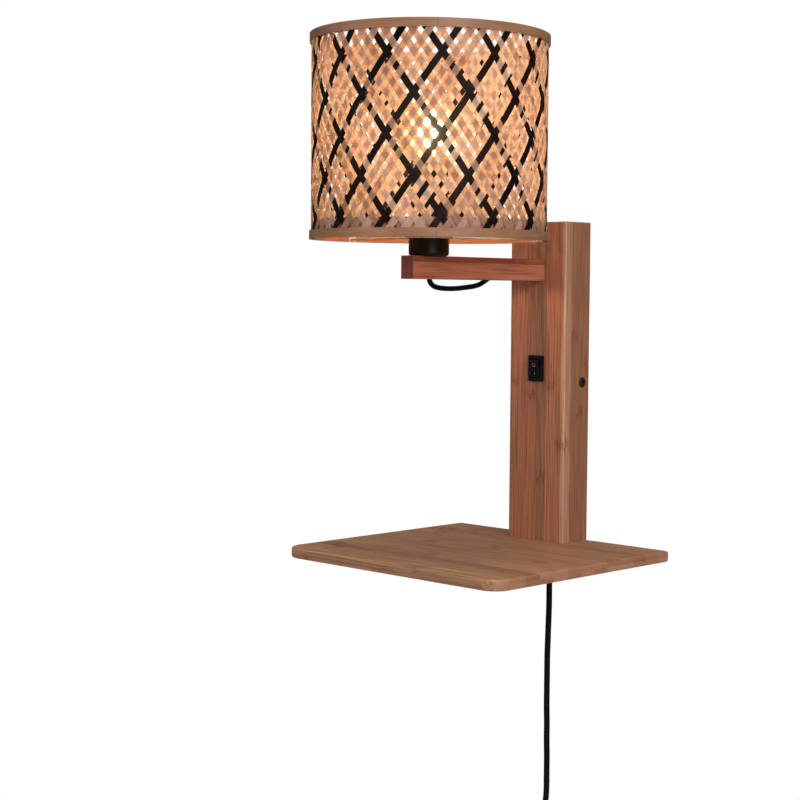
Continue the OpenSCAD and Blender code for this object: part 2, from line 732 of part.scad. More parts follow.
module holder_cap() {
    r = holder_d / 2;
    color(black_plastic) difference() {
        on_lamp_axis(arm_top) difference() {
            rotate_extrude() {
                translate([0, cap_round]) square([r, holder_cap_h - cap_round]);
                square([r - cap_round, holder_cap_h]);
                translate([r - cap_round, cap_round]) circle(cap_round, $fn = 48);
            }
            translate([0, 0, cap_floor]) cylinder(r = skirt_r - 0.95, h = holder_cap_h);
            translate([0, 0, -1]) cylinder(r = arm_cable_d / 2 + 0.6, h = holder_cap_h);
        }
        for (s = [-1, 1])
            translate([0, lamp_y + s * holder_screw_offset, arm_top - 1])
                cylinder(r = holder_screw_r + seat_gap, h = cap_floor + 2);
    }
}

module holder_screws() {
    color(steel) for (s = [-1, 1])
        translate([0, lamp_y + s * holder_screw_offset, arm_top + cap_floor])
            pan_screw(holder_screw_r, cap_floor + holder_screw_l - 1, 2.4, 1.6);
}

module holder_skirt() {
    lower_r = skirt_r - 1.05;
    color(black_plastic) on_lamp_axis(skirt_foot) difference() {
        union() {
            cylinder(r = lower_r, h = holder_h - 6);
            translate([0, 0, holder_cap_h - 5 + seat_gap])
                cylinder(r = skirt_r, h = holder_h - holder_cap_h - seat_gap);
        }
        // bore, with a ledge near its top that keeps the insert in
        translate([0, 0, -1]) cylinder(r = skirt_bore_r, h = insert_top - skirt_foot + 1);
        cylinder(r = skirt_bore_r - 1, h = holder_h);
    }
}

module holder_insert() {
    foot = arm_top + cap_floor;
    color([0.92, 0.9, 0.84]) difference() {
        on_lamp_axis(foot) difference() {
            cylinder(r = insert_r, h = insert_top - foot - seat_gap);
            // space for the terminals below, and for the screw shell above
            translate([0, 0, -1]) cylinder(r = insert_r - 1.6, h = insert_foot - foot + 1);
            translate([0, 0, bulb_tip - foot - 3])
                cylinder(r = shell_r + shell_t + seat_gap, h = holder_h);
            cylinder(r = 2, h = holder_h);
        }
        // windows that let the terminal screws be reached
        translate([-20, lamp_y - 4, foot + 6]) cube([40, 8, 12]);
    }
}

module holder_shell() {
    color(brass) on_lamp_axis(bulb_tip - 2) ring(shell_r + shell_t, shell_r, shell_l);
}

module holder_contact() {
    color(brass) on_lamp_axis(insert_foot) {
        cylinder(r = 1.9, h = bulb_tip - insert_foot - 0.6);
        translate([0, 0, bulb_tip - insert_foot - 1.6]) cylinder(r = 3.4, h = 1.5);
    }
}

// ---------------------------------------------------------------- shade fitting

hub_t = 1.6;
hub_z = arm_top + holder_cap_h;
shade_foot = arm_top + shade_lift;
shade_top = shade_foot + shade_h;
layer_gap = 0.1;
shade_facets = 144;                         // fine enough that the thin layers stay apart
outer_layer_r = shade_d / 2 - hoop_t - layer_gap;          // outside of the outer strips
inner_layer_r = outer_layer_r - strip_t - layer_gap;       // outside of the inner strips
inner_hoop_r = inner_layer_r - strip_t - layer_gap;        // outside of the inner hoops
spider_r = inner_hoop_r - hoop_t - layer_gap;

module shade_ring() {
    grips = 20;
    r = skirt_r + 4.6;
    color(black_plastic) on_lamp_axis(hub_z + hub_t) difference() {
        ring(r, skirt_r + seat_gap, 5);
        for (i = [0:grips - 1])
            rotate(i * 360 / grips) translate([r + 0.5, 0, -1]) cylinder(r = 1.1, h = 7);
    }
}

module shade_spider() {
    arms = 3;
    first = 60;
    foot_h = 9;
    foot_w = 8;
    color(steel) on_lamp_axis(hub_z) {
        ring(skirt_r + 3.8, skirt_r + 0.2, hub_t);
        for (i = [0:arms - 1]) rotate(first + i * 360 / arms) {
            translate([skirt_r + 2, 0, hub_t / 2]) rotate([0, 90, 0])
                cylinder(r = hub_t / 2, h = spider_r - skirt_r - 2.5);
            // a small foot that is riveted to the inside of the lower inner hoop
            intersection() {
                translate([0, 0, hub_t / 2 - 3]) ring(spider_r, spider_r - 1, foot_h);
                translate([0, -foot_w / 2, -foot_h]) cube([shade_d, foot_w, 3 * foot_h]);
                translate([0, 0, shade_foot - hub_z + 0.2]) cylinder(r = shade_d, h = foot_h);
            }
        }
    }
}

module hoop(r, h, z) {
    on_lamp_axis(z) ring(r, r - hoop_t, h, $fn = shade_facets);
}

module top_outer_hoop() {
    color(bamboo_light) hoop(shade_d / 2, outer_hoop_h, shade_top - outer_hoop_h);
}

module top_inner_hoop() {
    color(bamboo_light) hoop(inner_hoop_r, outer_hoop_h, shade_top - outer_hoop_h);
}

module bottom_outer_hoop() {
    color(bamboo_light) hoop(shade_d / 2, outer_hoop_h, shade_foot);
}

module bottom_inner_hoop() {
    color(bamboo_light) hoop(inner_hoop_r, inner_hoop_h, shade_foot);
}

// ---------------------------------------------------------------- woven strips

strip_inset = 0.3;                          // the strips end just inside the hoops' edges
weave_mid = shade_foot + shade_h / 2;
black_node_drop = 22.7;                     // from the top down to the first row of black crossings
black_node_z = shade_top - black_node_drop;

// One strip: the piece of a thin tube that lies between two leaning parallel planes.
// side is 1 for a strip that leans to the left going up, and -1 for the other way.
module strip(r, at, side) {
    half_h = shade_h / 2;
    lean = atan((r * sin(strip_lean * half_h)) / half_h);
    on_lamp_axis(weave_mid) rotate(at) intersection() {
        translate([0, 0, strip_inset - half_h])
            ring(r, r - strip_t, shade_h - 2 * strip_inset, $fn = shade_facets);
        rotate([-side * lean, 0, 0])
            translate([0, -strip_w / 2, -shade_h]) cube([r + 10, strip_w, 2 * shade_h]);
    }
}

// Every strip of one direction that is black, or every one that isn't
module strips(r, side, black) {
    step = 360 / strip_count;
    shift = -side * strip_lean * (black_node_z - weave_mid);
    for (i = [0:strip_count - 1])
        if ((i % black_every == 0) == black)
            strip(r, weave_turn + shift + i * step, side);
}

module left_strips_natural() {
    color([0.86, 0.66, 0.42]) strips(outer_layer_r, -1, false);
}

module left_strips_black() {
    color([0.08, 0.07, 0.06]) strips(outer_layer_r, -1, true);
}

module right_strips_natural() {
    color([0.84, 0.64, 0.4]) strips(inner_layer_r, 1, false);
}

module right_strips_black() {
    color([0.08, 0.07, 0.06]) strips(inner_layer_r, 1, true);
}

// ---------------------------------------------------------------- bulb

glass_t = 1;
globe_r = bulb_d / 2;
globe_z = bulb_tip + bulb_l - globe_r;      // centre of the globe
collar_foot = bulb_tip + 20;
collar_top = bulb_tip + 34;
collar_r = 12.5;
neck_r = collar_r - 1.2;
cap_foot = bulb_tip + 2;

module bulb_globe() {
    neck_z = collar_top - 3 - globe_z;
    color([0.98, 0.95, 0.86, 0.9]) on_lamp_axis(globe_z) rotate_extrude() difference() {
        union() {
            circle(globe_r);
            translate([0, neck_z]) square([neck_r, -neck_z]);
        }
        circle(globe_r - glass_t);
        translate([0, neck_z - 1]) square([neck_r - glass_t, 1 - neck_z]);
        translate([-2 * globe_r, -2 * globe_r]) square([2 * globe_r, 4 * globe_r]);
    }
}

module bulb_collar() {
    cap_r = bulb_cap_d / 2;
    color([0.93, 0.93, 0.91]) on_lamp_axis(collar_foot) difference() {
        union() {
            cylinder(r = cap_r + 0.4, h = 3);
            translate([0, 0, 3]) cylinder(r1 = cap_r + 0.4, r2 = collar_r, h = 8);
            translate([0, 0, 11]) cylinder(r = collar_r, h = collar_top - collar_foot - 11);
        }
        // the seat of the globe's neck
        translate([0, 0, collar_top - collar_foot - 3 - seat_gap])
            cylinder(r = neck_r + seat_gap, h = 5);
        translate([0, 0, -1]) cylinder(r = cap_r - 1.2, h = 4);
    }
}

module bulb_cap() {
    cap_r = bulb_cap_d / 2;
    crests = 5;
    color(steel) on_lamp_axis(cap_foot) difference() {
        rotate_extrude() {
            square([cap_r - 0.5, collar_foot - cap_foot]);
            for (i = [0:crests - 1])
                translate([cap_r - 0.7, 3.4 + 2.8 * i]) circle(0.7, $fn = 24);
        }
        translate([0, 0, 1]) cylinder(r = cap_r - 1, h = collar_foot);
    }
}

module bulb_contact() {
    color(brass) on_lamp_axis(bulb_tip) {
        cylinder(r1 = 2.4, r2 = 4.2, h = 1.2);
        translate([0, 0, 1.2]) cylinder(r = 4.2, h = cap_foot - bulb_tip - 1.2);
    }
}

// ---------------------------------------------------------------- mains cord, coil and plug

coil_turns = 6.25;                          // from the top of the coil round to its right side
coil_r_in = 21.3;                           // radius of the innermost turn
coil_pitch = 5.5;                           // from one turn to the next, and between the layers
coil_x = 0;
coil_y = -13;
coil_z = -473.5;
coil_r_out = coil_r_in + coil_pitch * coil_turns / 2;
rings_per_turn = 24;

// The cord spirals in through the layer at the back and out again through the front one
function coil_point(a) =
    let (mid = 180 * coil_turns, away = abs(a - mid),
        r = coil_r_in + coil_pitch * away / 360,
        climb = away > 90 ? (a > mid ? 1 : 0) : (1 + sin(a - mid)) / 2)
    [coil_x + r * sin(a), coil_y + coil_pitch * (0.5 - climb), coil_z + r * cos(a)];

coil_steps = rings_per_turn * coil_turns;
coil_turns_route = [for (i = [0:coil_steps]) coil_point(i * 360 / rings_per_turn)];
coil_start = coil_point(0);
coil_end = coil_point(360 * coil_turns);
coil_route = concat([coil_start - [cord_d, 0, 0]], coil_turns_route,
    [coil_end - [0, 0, cord_d]]);
self_gaps = [
    for (i = [0:coil_steps], j = [i + rings_per_turn / 2:1:coil_steps])
        norm(coil_turns_route[i] - coil_turns_route[j]) - cord_d];
echo("least gap of the coil to itself, mm", min(self_gaps));

// The cord as it hangs from the gland, a little bowed, then curving over into the coil
mains_cord_route = [
    [0, -12.5, gland_tip], [0, -12.5, -172], [0, -12.5, -186], [0, -13, -200], [0, -13.5, -214],
    [0, -14, -228], [0, -14, -242], [0, -14, -256], [0, -14, -270], [0, -13.5, -284],
    [0, -13.5, -298], [0, -13, -312], [0, -13, -326], [0, -13, -340], [-0.9, -13, -350],
    [-3.4, -13, -359], [-7.5, -13, -368], [-14.5, -13, -377.5], [-21.5, -13, -387],
    [-25.6, -12.7, -396], [-28.2, -12.2, -405.5], [-29, -11.7, -415], [-27.5, -11.1, -422.7],
    [-23.1, -10.6, -429.1], [-16.7, -10.3, -433.5], [-9, -10.25, -435], [-5, -10.25, -435]];
tail_foot = coil_z - 35;
cord_tail_route = [
    coil_end - [0, 0, cord_d], coil_end - [0, 0, 12], coil_end - [0, 0, 20],
    coil_end - [0, 0, 28], [coil_end[0], coil_end[1], tail_foot]];

module mains_cord() {
    color(black_plastic) swept_tube(mains_cord_route, cord_d / 2, 12, [0, 1, 0]);
}

module cord_coil() {
    color(black_plastic) swept_tube(coil_route, cord_d / 2, 6, [0, 1, 0]);
}

module cord_tail() {
    color(black_plastic) swept_tube(cord_tail_route, cord_d / 2, 12, [0, 1, 0]);
}

tie_w = 8;
tie_t = 1.2;
tie_at = 12;                                // angle of the tie from the coil's top

module cord_tie() {
    bundle_w = coil_r_out - coil_r_in + cord_d + 1.6;
    bundle_d = coil_pitch + cord_d + 0.8;
    corner_r = cord_d / 2;
    color([0.12, 0.12, 0.12]) translate([coil_x, coil_y, coil_z]) rotate([0, tie_at, 0])
        translate([-tie_w / 2, 0, (coil_r_in + coil_r_out) / 2 - 0.3]) rotate([90, 0, 90])
            linear_extrude(tie_w) difference() {
                round_rect(bundle_d + 2 * tie_t, bundle_w + 2 * tie_t, corner_r + tie_t);
                round_rect(bundle_d, bundle_w, corner_r);
            }
}

plug_x = coil_end[0];
plug_y = coil_end[1];
plug_relief_l = 15;
plug_l = 36;
plug_w = 35.3;
plug_t = 13.7;
pin_l = 19;
pin_r = 2;
pin_pitch = 18.6;
sleeve_l = 10;
pin_neck = 0.7;                             // the pins are thinner by this inside their sleeves
sleeve_neck = 0.25;                         // and the sleeves are thinner by this than the pins
sleeve_gap = 0.05;                          // between the sleeves, the pins and the body's holes
sleeve_r = pin_r - sleeve_neck;
plug_face = tail_foot - plug_relief_l - plug_l;

// The plug's body: a flat with rounded ends that narrows towards the cord
module plug_shape() {
    intersection() {
        linear_extrude(plug_l) {
            square([plug_w - plug_t, plug_t], center = true);
            for (s = [-1, 1]) translate([s * (plug_w - plug_t) / 2, 0]) circle(d = plug_t);
        }
        translate([0, plug_t, 0]) rotate([90, 0, 0]) linear_extrude(2 * plug_t)
            polygon([[-plug_w / 2 + 1, 0], [plug_w / 2 - 1, 0], [plug_w / 2, 1],
                [plug_w / 2, 12], [15.5, 17], [11, 23], [8, 29], [6.2, plug_l], [-6.2, plug_l],
                [-8, 29], [-11, 23], [-15.5, 17], [-plug_w / 2, 12], [-plug_w / 2, 1]]);
        translate([-plug_w, 0, 0]) rotate([90, 0, 90]) linear_extrude(2 * plug_w)
            polygon([[-plug_t / 2 + 1, 0], [plug_t / 2 - 1, 0], [plug_t / 2, 1],
                [plug_t / 2, 20], [5.2, plug_l], [-5.2, plug_l], [-plug_t / 2, 20],
                [-plug_t / 2, 1]]);
    }
}

module plug_body() {
    color(black_plastic) translate([plug_x, plug_y, plug_face]) difference() {
        union() {
            plug_shape();
            // ribbed strain relief
            translate([0, 0, plug_l - 0.5])
                cylinder(r1 = 4.4, r2 = cord_d / 2 + 0.7, h = plug_relief_l + 0.5);
            for (i = [0:3])
                translate([0, 0, plug_l + 1.2 + 3.4 * i]) cylinder(r = 4.8 - 0.3 * i, h = 1.6);
        }
        for (s = [-1, 1])
            translate([s * pin_pitch / 2, 0, -1]) cylinder(r = sleeve_r + sleeve_gap, h = 9);
    }
}

module plug_sleeves() {
    color([0.1, 0.1, 0.1]) for (s = [-1, 1])
        translate([plug_x + s * pin_pitch / 2, plug_y, plug_face - sleeve_l])
            ring(sleeve_r, pin_r - pin_neck + sleeve_gap, sleeve_l + 7.5);
}

module plug_pins() {
    color(steel) for (s = [-1, 1])
        translate([plug_x + s * pin_pitch / 2, plug_y, plug_face - pin_l]) {
            translate([0, 0, pin_r]) cylinder(r = pin_r, h = pin_l - sleeve_l - pin_r - 0.05);
            intersection() {
                translate([0, 0, pin_r]) sphere(pin_r);
                cylinder(r = 2 * pin_r, h = pin_r + bit);
            }
            translate([0, 0, pin_r]) cylinder(r = pin_r - pin_neck, h = pin_l + 6);
        }
}

column();
shelf_board();
lamp_arm();
arm_screw();
shelf_screws();
wall_bracket();
side_screws();
switch_housing();
switch_rocker();
switch_terminals();
terminal_block();
terminal_screws();
cord_clamp();
clamp_screws();
cord_gland();
mains_lead();
brown_cores();
blue_cores();
arm_cable();
holder_cap();
holder_screws();
holder_insert();
holder_shell();
holder_contact();
holder_skirt();
shade_ring();
shade_spider();
top_outer_hoop();
top_inner_hoop();
bottom_outer_hoop();
bottom_inner_hoop();
left_strips_natural();
left_strips_black();
right_strips_natural();
right_strips_black();
bulb_globe();
bulb_collar();
bulb_cap();
bulb_contact();
mains_cord();
cord_coil();
cord_tail();
cord_tie();
plug_body();
plug_sleeves();
plug_pins();
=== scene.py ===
# Wall lamp with a shelf: oiled bamboo column, arm and shelf, a drum shade woven from split
# bamboo, a small rocker switch and a black mains cord. Metres, in the frame of the solids.
import math
import random

import bpy
from mathutils import Matrix, Vector


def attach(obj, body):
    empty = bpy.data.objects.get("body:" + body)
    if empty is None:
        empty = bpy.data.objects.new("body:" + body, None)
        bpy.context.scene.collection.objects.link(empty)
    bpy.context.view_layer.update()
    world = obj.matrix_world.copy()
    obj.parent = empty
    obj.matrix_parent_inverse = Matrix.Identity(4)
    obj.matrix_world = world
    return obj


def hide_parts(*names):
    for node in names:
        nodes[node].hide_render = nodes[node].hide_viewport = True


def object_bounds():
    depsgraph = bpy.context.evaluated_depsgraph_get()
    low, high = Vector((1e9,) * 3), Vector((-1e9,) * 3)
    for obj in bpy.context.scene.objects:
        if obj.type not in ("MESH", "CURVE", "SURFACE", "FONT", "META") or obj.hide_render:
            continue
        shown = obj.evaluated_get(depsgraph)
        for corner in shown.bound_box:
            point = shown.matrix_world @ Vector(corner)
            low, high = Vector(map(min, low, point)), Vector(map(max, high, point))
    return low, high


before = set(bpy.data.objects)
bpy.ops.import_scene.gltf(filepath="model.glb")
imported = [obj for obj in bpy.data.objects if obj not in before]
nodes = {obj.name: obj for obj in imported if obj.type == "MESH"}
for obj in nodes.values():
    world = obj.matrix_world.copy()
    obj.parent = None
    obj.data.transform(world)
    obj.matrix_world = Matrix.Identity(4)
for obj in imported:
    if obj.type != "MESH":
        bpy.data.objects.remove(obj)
cad_low, cad_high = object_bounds()
MM = 0.001

# ---------------------------------------------------------------- camera

eye = bpy.data.cameras.new("camera")
eye.lens = 75.95
eye.sensor_width = 36
eye.shift_x = -0.0756
eye.shift_y = -0.0033
eye.clip_start = 0.05
camera = bpy.data.objects.new("camera", eye)
bpy.context.collection.objects.link(camera)
camera.matrix_world = Matrix((
    (0.72651279, -0.04915676, 0.68539243, 0.8944),
    (0.68709514, 0.03903111, -0.72551832, -1.0681),
    (0.0089125, 0.99802815, 0.06213197, 0.0719),
    (0, 0, 0, 1)))
bpy.context.scene.camera = camera

# ---------------------------------------------------------------- shared helpers


def clear_selection():
    """Leaves edit mode and deselects everything, so that an operator acts on one piece alone."""
    if bpy.context.mode != "OBJECT":
        bpy.ops.object.mode_set(mode="OBJECT")
    bpy.ops.object.select_all(action="DESELECT")


def only(piece):
    """Selects one piece and makes it the active one."""
    clear_selection()
    piece.select_set(True)
    bpy.context.view_layer.objects.active = piece


def finish_piece(piece, name, material):
    """Names a piece, puts its place into its mesh and gives it its material."""
    only(piece)
    bpy.ops.object.transform_apply(location=True, rotation=True, scale=True)
    piece.name = name
    piece.data.name = name
    piece.data.materials.clear()
    piece.data.materials.append(material)


def smooth_route(points, steps):
    """A smooth curve through points, with a number of steps between each two."""
    out = []
    for i in range(len(points) - 1):
        a, b = points[max(i - 1, 0)], points[i]
        c, d = points[i + 1], points[min(i + 2, len(points) - 1)]
        for s in range(steps):
            t = s / steps
            out.append([0.5 * (2 * q + (r - p) * t + (2 * p - 5 * q + 4 * r - w) * t ** 2
                               + (3 * q - p - 3 * r + w) * t ** 3)
                        for p, q, r, w in zip(a, b, c, d)])
    return out + [list(points[-1])]


def cord_along(name, points_mm, diameter_mm, material):
    """A cord as one open spline with a round section."""
    data = bpy.data.curves.new(name, "CURVE")
    data.dimensions = "3D"
    spline = data.splines.new("POLY")
    spline.points.add(len(points_mm) - 1)
    for point, place in zip(spline.points, points_mm):
        point.co = (*(MM * c for c in place), 1)
    spline.use_smooth = True
    data.bevel_depth = diameter_mm / 2 * MM
    data.bevel_resolution = 5
    data.use_fill_caps = True
    data.materials.append(material)
    piece = bpy.data.objects.new(name, data)
    bpy.context.collection.objects.link(piece)
    return piece


# ---------------------------------------------------------------- materials


def linear(hex_colour):
    """An sRGB hex colour as linear RGBA."""
    out = []
    for i in (0, 2, 4):
        c = int(hex_colour[i:i + 2], 16) / 255
        out.append(c / 12.92 if c <= 0.04045 else ((c + 0.055) / 1.055) ** 2.4)
    return (*out, 1)


def add(tree, kind, inputs=(), stops=(), **settings):
    """Adds a node with its settings, and sets or links its inputs, given by name or in order.
    A node given as an input stands for its first output. stops are a ramp's hex colours."""
    made = tree.nodes.new(kind)
    for key, value in settings.items():
        setattr(made, key, value)
    if not isinstance(inputs, dict):
        inputs = dict(zip([i for i, socket in enumerate(made.inputs) if socket.enabled], inputs))
    for at, value in inputs.items():
        if isinstance(value, bpy.types.Node):
            value = next(socket for socket in value.outputs if socket.enabled)
        if isinstance(value, bpy.types.NodeSocket):
            tree.links.new(value, made.inputs[at])
        else:
            made.inputs[at].default_value = value
    for i, (position, hex_colour) in enumerate(stops):
        if i >= len(made.color_ramp.elements):
            made.color_ramp.elements.new(position)
        made.color_ramp.elements[i].position = position
        made.color_ramp.elements[i].color = linear(hex_colour)
    return made


def start_material(name):
    """An empty material, its node tree, and a node that gives each point's place in millimetres."""
    material = bpy.data.materials.new(name)
    material.use_nodes = True
    tree = material.node_tree
    tree.nodes.clear()
    place = add(tree, "ShaderNodeTexCoord")
    mm = add(tree, "ShaderNodeMapping", {"Vector": place.outputs["Object"],
                                         "Scale": (1000, 1000, 1000)})
    return material, tree, mm


def laminated_bamboo(name, along, across, depth, widths, shift, tones, odd_strip, odd_tone,
                     end_tone, knuckle=230):
    """Laminated bamboo, planed and oiled: squared strips glued side by side and in plies, so
    the eye sees parallel bands of slightly different browns with fine fibres along them, a
    darker flame-edged knuckle across each strip, and dotted end grain. along, across and depth
    are axes, widths a strip's two sizes and knuckle the way from one knuckle to the next, in
    millimetres. odd_strip lists the planes that bound the one strip of another tone."""
    glue_mm, flame_mm, knuckle_core_mm, knuckle_edge_mm = 0.25, 34, 0.5, 6.5
    material, tree, mm = start_material(name)
    axes = add(tree, "ShaderNodeSeparateXYZ", [mm])
    run, side, deep = (axes.outputs[axis] for axis in (along, across, depth))

    # which strip a point lies in, and what luck gave that strip
    wide = add(tree, "ShaderNodeMath", [side, 1 / widths[0], shift[0]], operation="MULTIPLY_ADD")
    thick = add(tree, "ShaderNodeMath", [deep, 1 / widths[1], shift[1]], operation="MULTIPLY_ADD")
    cell = add(tree, "ShaderNodeCombineXYZ", [
        add(tree, "ShaderNodeMath", [wide], operation="FLOOR"),
        add(tree, "ShaderNodeMath", [thick], operation="FLOOR"), 0.5])
    luck = add(tree, "ShaderNodeSeparateColor", [add(
        tree, "ShaderNodeTexWhiteNoise", [cell], noise_dimensions="3D").outputs["Color"]])

    # glue lines, which fade out to both sides
    joint = add(tree, "ShaderNodeMath", [wide, 0.5], operation="PINGPONG")
    glue = add(tree, "ShaderNodeMapRange", {"Value": joint, "From Min": 0.0,
                                            "From Max": glue_mm / widths[0], "To Min": 1.0,
                                            "To Max": 0.0})

    # fibres: bundles about 0.7 mm wide and 50 mm long, and streaks about 2.4 mm wide and
    # 100 mm long. Each strip has its own.
    slow = add(tree, "ShaderNodeMath", [run, 0.02, add(
        tree, "ShaderNodeMath", [luck.outputs[1], 50.0], operation="MULTIPLY")],
        operation="MULTIPLY_ADD")
    cross = add(tree, "ShaderNodeCombineXYZ", [side, deep, slow])
    fine_place = add(tree, "ShaderNodeMapping", {"Vector": cross, "Scale": (1.5, 1.5, 1.0)})
    fibre = add(tree, "ShaderNodeTexNoise", {"Vector": fine_place, "Scale": 1.0, "Detail": 4.0,
                                             "Roughness": 0.6})
    broad_place = add(tree, "ShaderNodeMapping", {"Vector": cross, "Scale": (0.42, 0.42, 0.5)})
    broad = add(tree, "ShaderNodeTexNoise", {"Vector": broad_place, "Scale": 1.0,
                                             "Detail": 2.0})

    # knuckles: a patch about 8 mm high on each strip, at its own height, whose edges run out
    # in flames along the fibres, with short wavy dashes in it
    flame_place = add(tree, "ShaderNodeCombineXYZ", [
        add(tree, "ShaderNodeMath", [side, 0.42], operation="MULTIPLY"),
        add(tree, "ShaderNodeMath", [deep, 0.42], operation="MULTIPLY"),
        add(tree, "ShaderNodeMath", [run, 0.05], operation="MULTIPLY")])
    flame = add(tree, "ShaderNodeTexNoise", {"Vector": flame_place, "Scale": 1.0, "Detail": 3.0})
    height = add(tree, "ShaderNodeMath", [run, 1 / knuckle, luck.outputs[0]],
                 operation="MULTIPLY_ADD")
    near = add(tree, "ShaderNodeMath", [add(
        tree, "ShaderNodeMath", [flame, flame_mm / knuckle, height],
        operation="MULTIPLY_ADD"), 0.5], operation="PINGPONG")
    patch = add(tree, "ShaderNodeMapRange", {"Value": near,
                                             "From Min": knuckle_core_mm / knuckle,
                                             "From Max": knuckle_edge_mm / knuckle,
                                             "To Min": 1.0, "To Max": 0.0},
                interpolation_type="SMOOTHSTEP")
    dashes = add(tree, "ShaderNodeTexNoise", {"Vector": mm, "Scale": 0.7, "Detail": 2.0})
    knot = add(tree, "ShaderNodeMath", [patch, add(
        tree, "ShaderNodeMapRange", {"Value": dashes, "From Min": 0.35, "From Max": 0.65,
                                     "To Min": 0.35, "To Max": 1.0})], operation="MULTIPLY")

    tone = add(tree, "ShaderNodeMath", [broad, 0.45, add(
        tree, "ShaderNodeMath", [luck.outputs[2], 0.55], operation="MULTIPLY")],
        operation="MULTIPLY_ADD")
    wood = add(tree, "ShaderNodeValToRGB", [tone], stops=tones)
    odd = None
    for axis, way, limit in odd_strip:
        inside = add(tree, "ShaderNodeMath", [axes.outputs[axis], limit], operation=way)
        odd = inside if odd is None else add(tree, "ShaderNodeMath", [odd, inside],
                                             operation="MULTIPLY")
    if odd is not None:
        other = add(tree, "ShaderNodeMix", [broad, linear(odd_tone[0]), linear(odd_tone[1])],
                    data_type="RGBA")
        wood = add(tree, "ShaderNodeMix", [odd, wood, other], data_type="RGBA")
    streak = add(tree, "ShaderNodeValToRGB", [fibre],
                 stops=((0.34, "a4887a"), (0.5, "ece0d8"), (0.62, "ffffff")))
    wood = add(tree, "ShaderNodeMix", [0.9, wood, streak], data_type="RGBA",
               blend_type="MULTIPLY")
    wood = add(tree, "ShaderNodeMix", [knot, wood, (0.62, 0.45, 0.42, 1)], data_type="RGBA",
               blend_type="MULTIPLY")
    wood = add(tree, "ShaderNodeMix", [add(
        tree, "ShaderNodeMath", [glue, 0.25], operation="MULTIPLY"), wood, linear("6b4434")],
        data_type="RGBA")

    # end grain: dark bundles as dots about 0.7 mm apart
    facing = add(tree, "ShaderNodeSeparateXYZ", [
        add(tree, "ShaderNodeTexCoord").outputs["Normal"]])
    on_end = add(tree, "ShaderNodeMapRange", {"Value": add(
        tree, "ShaderNodeMath", [facing.outputs[along]], operation="ABSOLUTE"),
        "From Min": 0.72, "From Max": 0.82})
    dots = add(tree, "ShaderNodeTexVoronoi", {"Vector": mm, "Scale": 1.4})
    end = add(tree, "ShaderNodeValToRGB", [dots], stops=((0.15, end_tone[0]),
                                                         (0.45, end_tone[1])))
    end = add(tree, "ShaderNodeMix", [luck.outputs[2], end, linear(end_tone[2])],
              data_type="RGBA")
    wood = add(tree, "ShaderNodeMix", [on_end, wood, end], data_type="RGBA")

    sheen = add(tree, "ShaderNodeMapRange", {"Value": fibre, "To Min": 0.58, "To Max": 0.42})
    relief = add(tree, "ShaderNodeBump", {"Height": add(
        tree, "ShaderNodeMath", [fibre, glue], operation="SUBTRACT"), "Strength": 0.12,
        "Distance": 0.0002})
    shader = add(tree, "ShaderNodeBsdfPrincipled", {
        "Base Color": wood, "Roughness": sheen, "Normal": relief, "IOR": 1.5,
        "Specular IOR Level": 0.35})
    add(tree, "ShaderNodeOutputMaterial", [shader])
    return material


def bent_bamboo(name, tones, axis_y, radius):
    """Bamboo veneer bent into a hoop: one thin ply, so the fibres run round the hoop, the tone
    drifts slowly, and a few fine upright lines show where lengths of veneer meet. axis_y and
    radius place the hoop, in millimetres."""
    veneer_mm, joint_mm = 95, 0.5
    material, tree, mm = start_material(name)
    axes = add(tree, "ShaderNodeSeparateXYZ", [mm])
    turn = add(tree, "ShaderNodeMath", [add(
        tree, "ShaderNodeMath", [axes.outputs[1], axis_y], operation="SUBTRACT"),
        axes.outputs[0]], operation="ARCTAN2")
    round_mm = add(tree, "ShaderNodeMath", [turn, radius], operation="MULTIPLY")
    # fibres 0.5 mm wide and 30 mm long, round the hoop
    stretched = add(tree, "ShaderNodeCombineXYZ", [
        add(tree, "ShaderNodeMath", [round_mm, 0.03], operation="MULTIPLY"),
        add(tree, "ShaderNodeMath", [axes.outputs[2], 1.8], operation="MULTIPLY")])
    fibre = add(tree, "ShaderNodeTexNoise", {"Vector": stretched, "Scale": 1.0, "Detail": 4.0,
                                             "Roughness": 0.6})
    drift = add(tree, "ShaderNodeMapping", {"Vector": mm, "Scale": (0.02, 0.02, 0.05)})
    cloud = add(tree, "ShaderNodeTexNoise", {"Vector": drift, "Scale": 1.0, "Detail": 2.0})
    wood = add(tree, "ShaderNodeValToRGB", [cloud], stops=tones)
    wood = add(tree, "ShaderNodeMix", [0.6, wood, add(
        tree, "ShaderNodeValToRGB", [fibre], stops=((0.3, "b9a294"), (0.55, "ffffff")))],
        data_type="RGBA", blend_type="MULTIPLY")
    # upright joints between the lengths of veneer, which fade out to both sides
    joint = add(tree, "ShaderNodeMapRange", {"Value": add(
        tree, "ShaderNodeMath", [add(tree, "ShaderNodeMath", [round_mm, 1 / veneer_mm, 10.7],
                                     operation="MULTIPLY_ADD"), 0.5], operation="PINGPONG"),
        "From Min": 0.0, "From Max": joint_mm / veneer_mm, "To Min": 0.55, "To Max": 0.0})
    wood = add(tree, "ShaderNodeMix", [joint, wood, linear("4a2a1c")], data_type="RGBA")
    relief = add(tree, "ShaderNodeBump", {"Height": fibre, "Strength": 0.1,
                                          "Distance": 0.0002})
    shader = add(tree, "ShaderNodeBsdfPrincipled", {
        "Base Color": wood, "Roughness": 0.52, "Normal": relief, "IOR": 1.5,
        "Specular IOR Level": 0.35})
    add(tree, "ShaderNodeOutputMaterial", [shader])
    return material


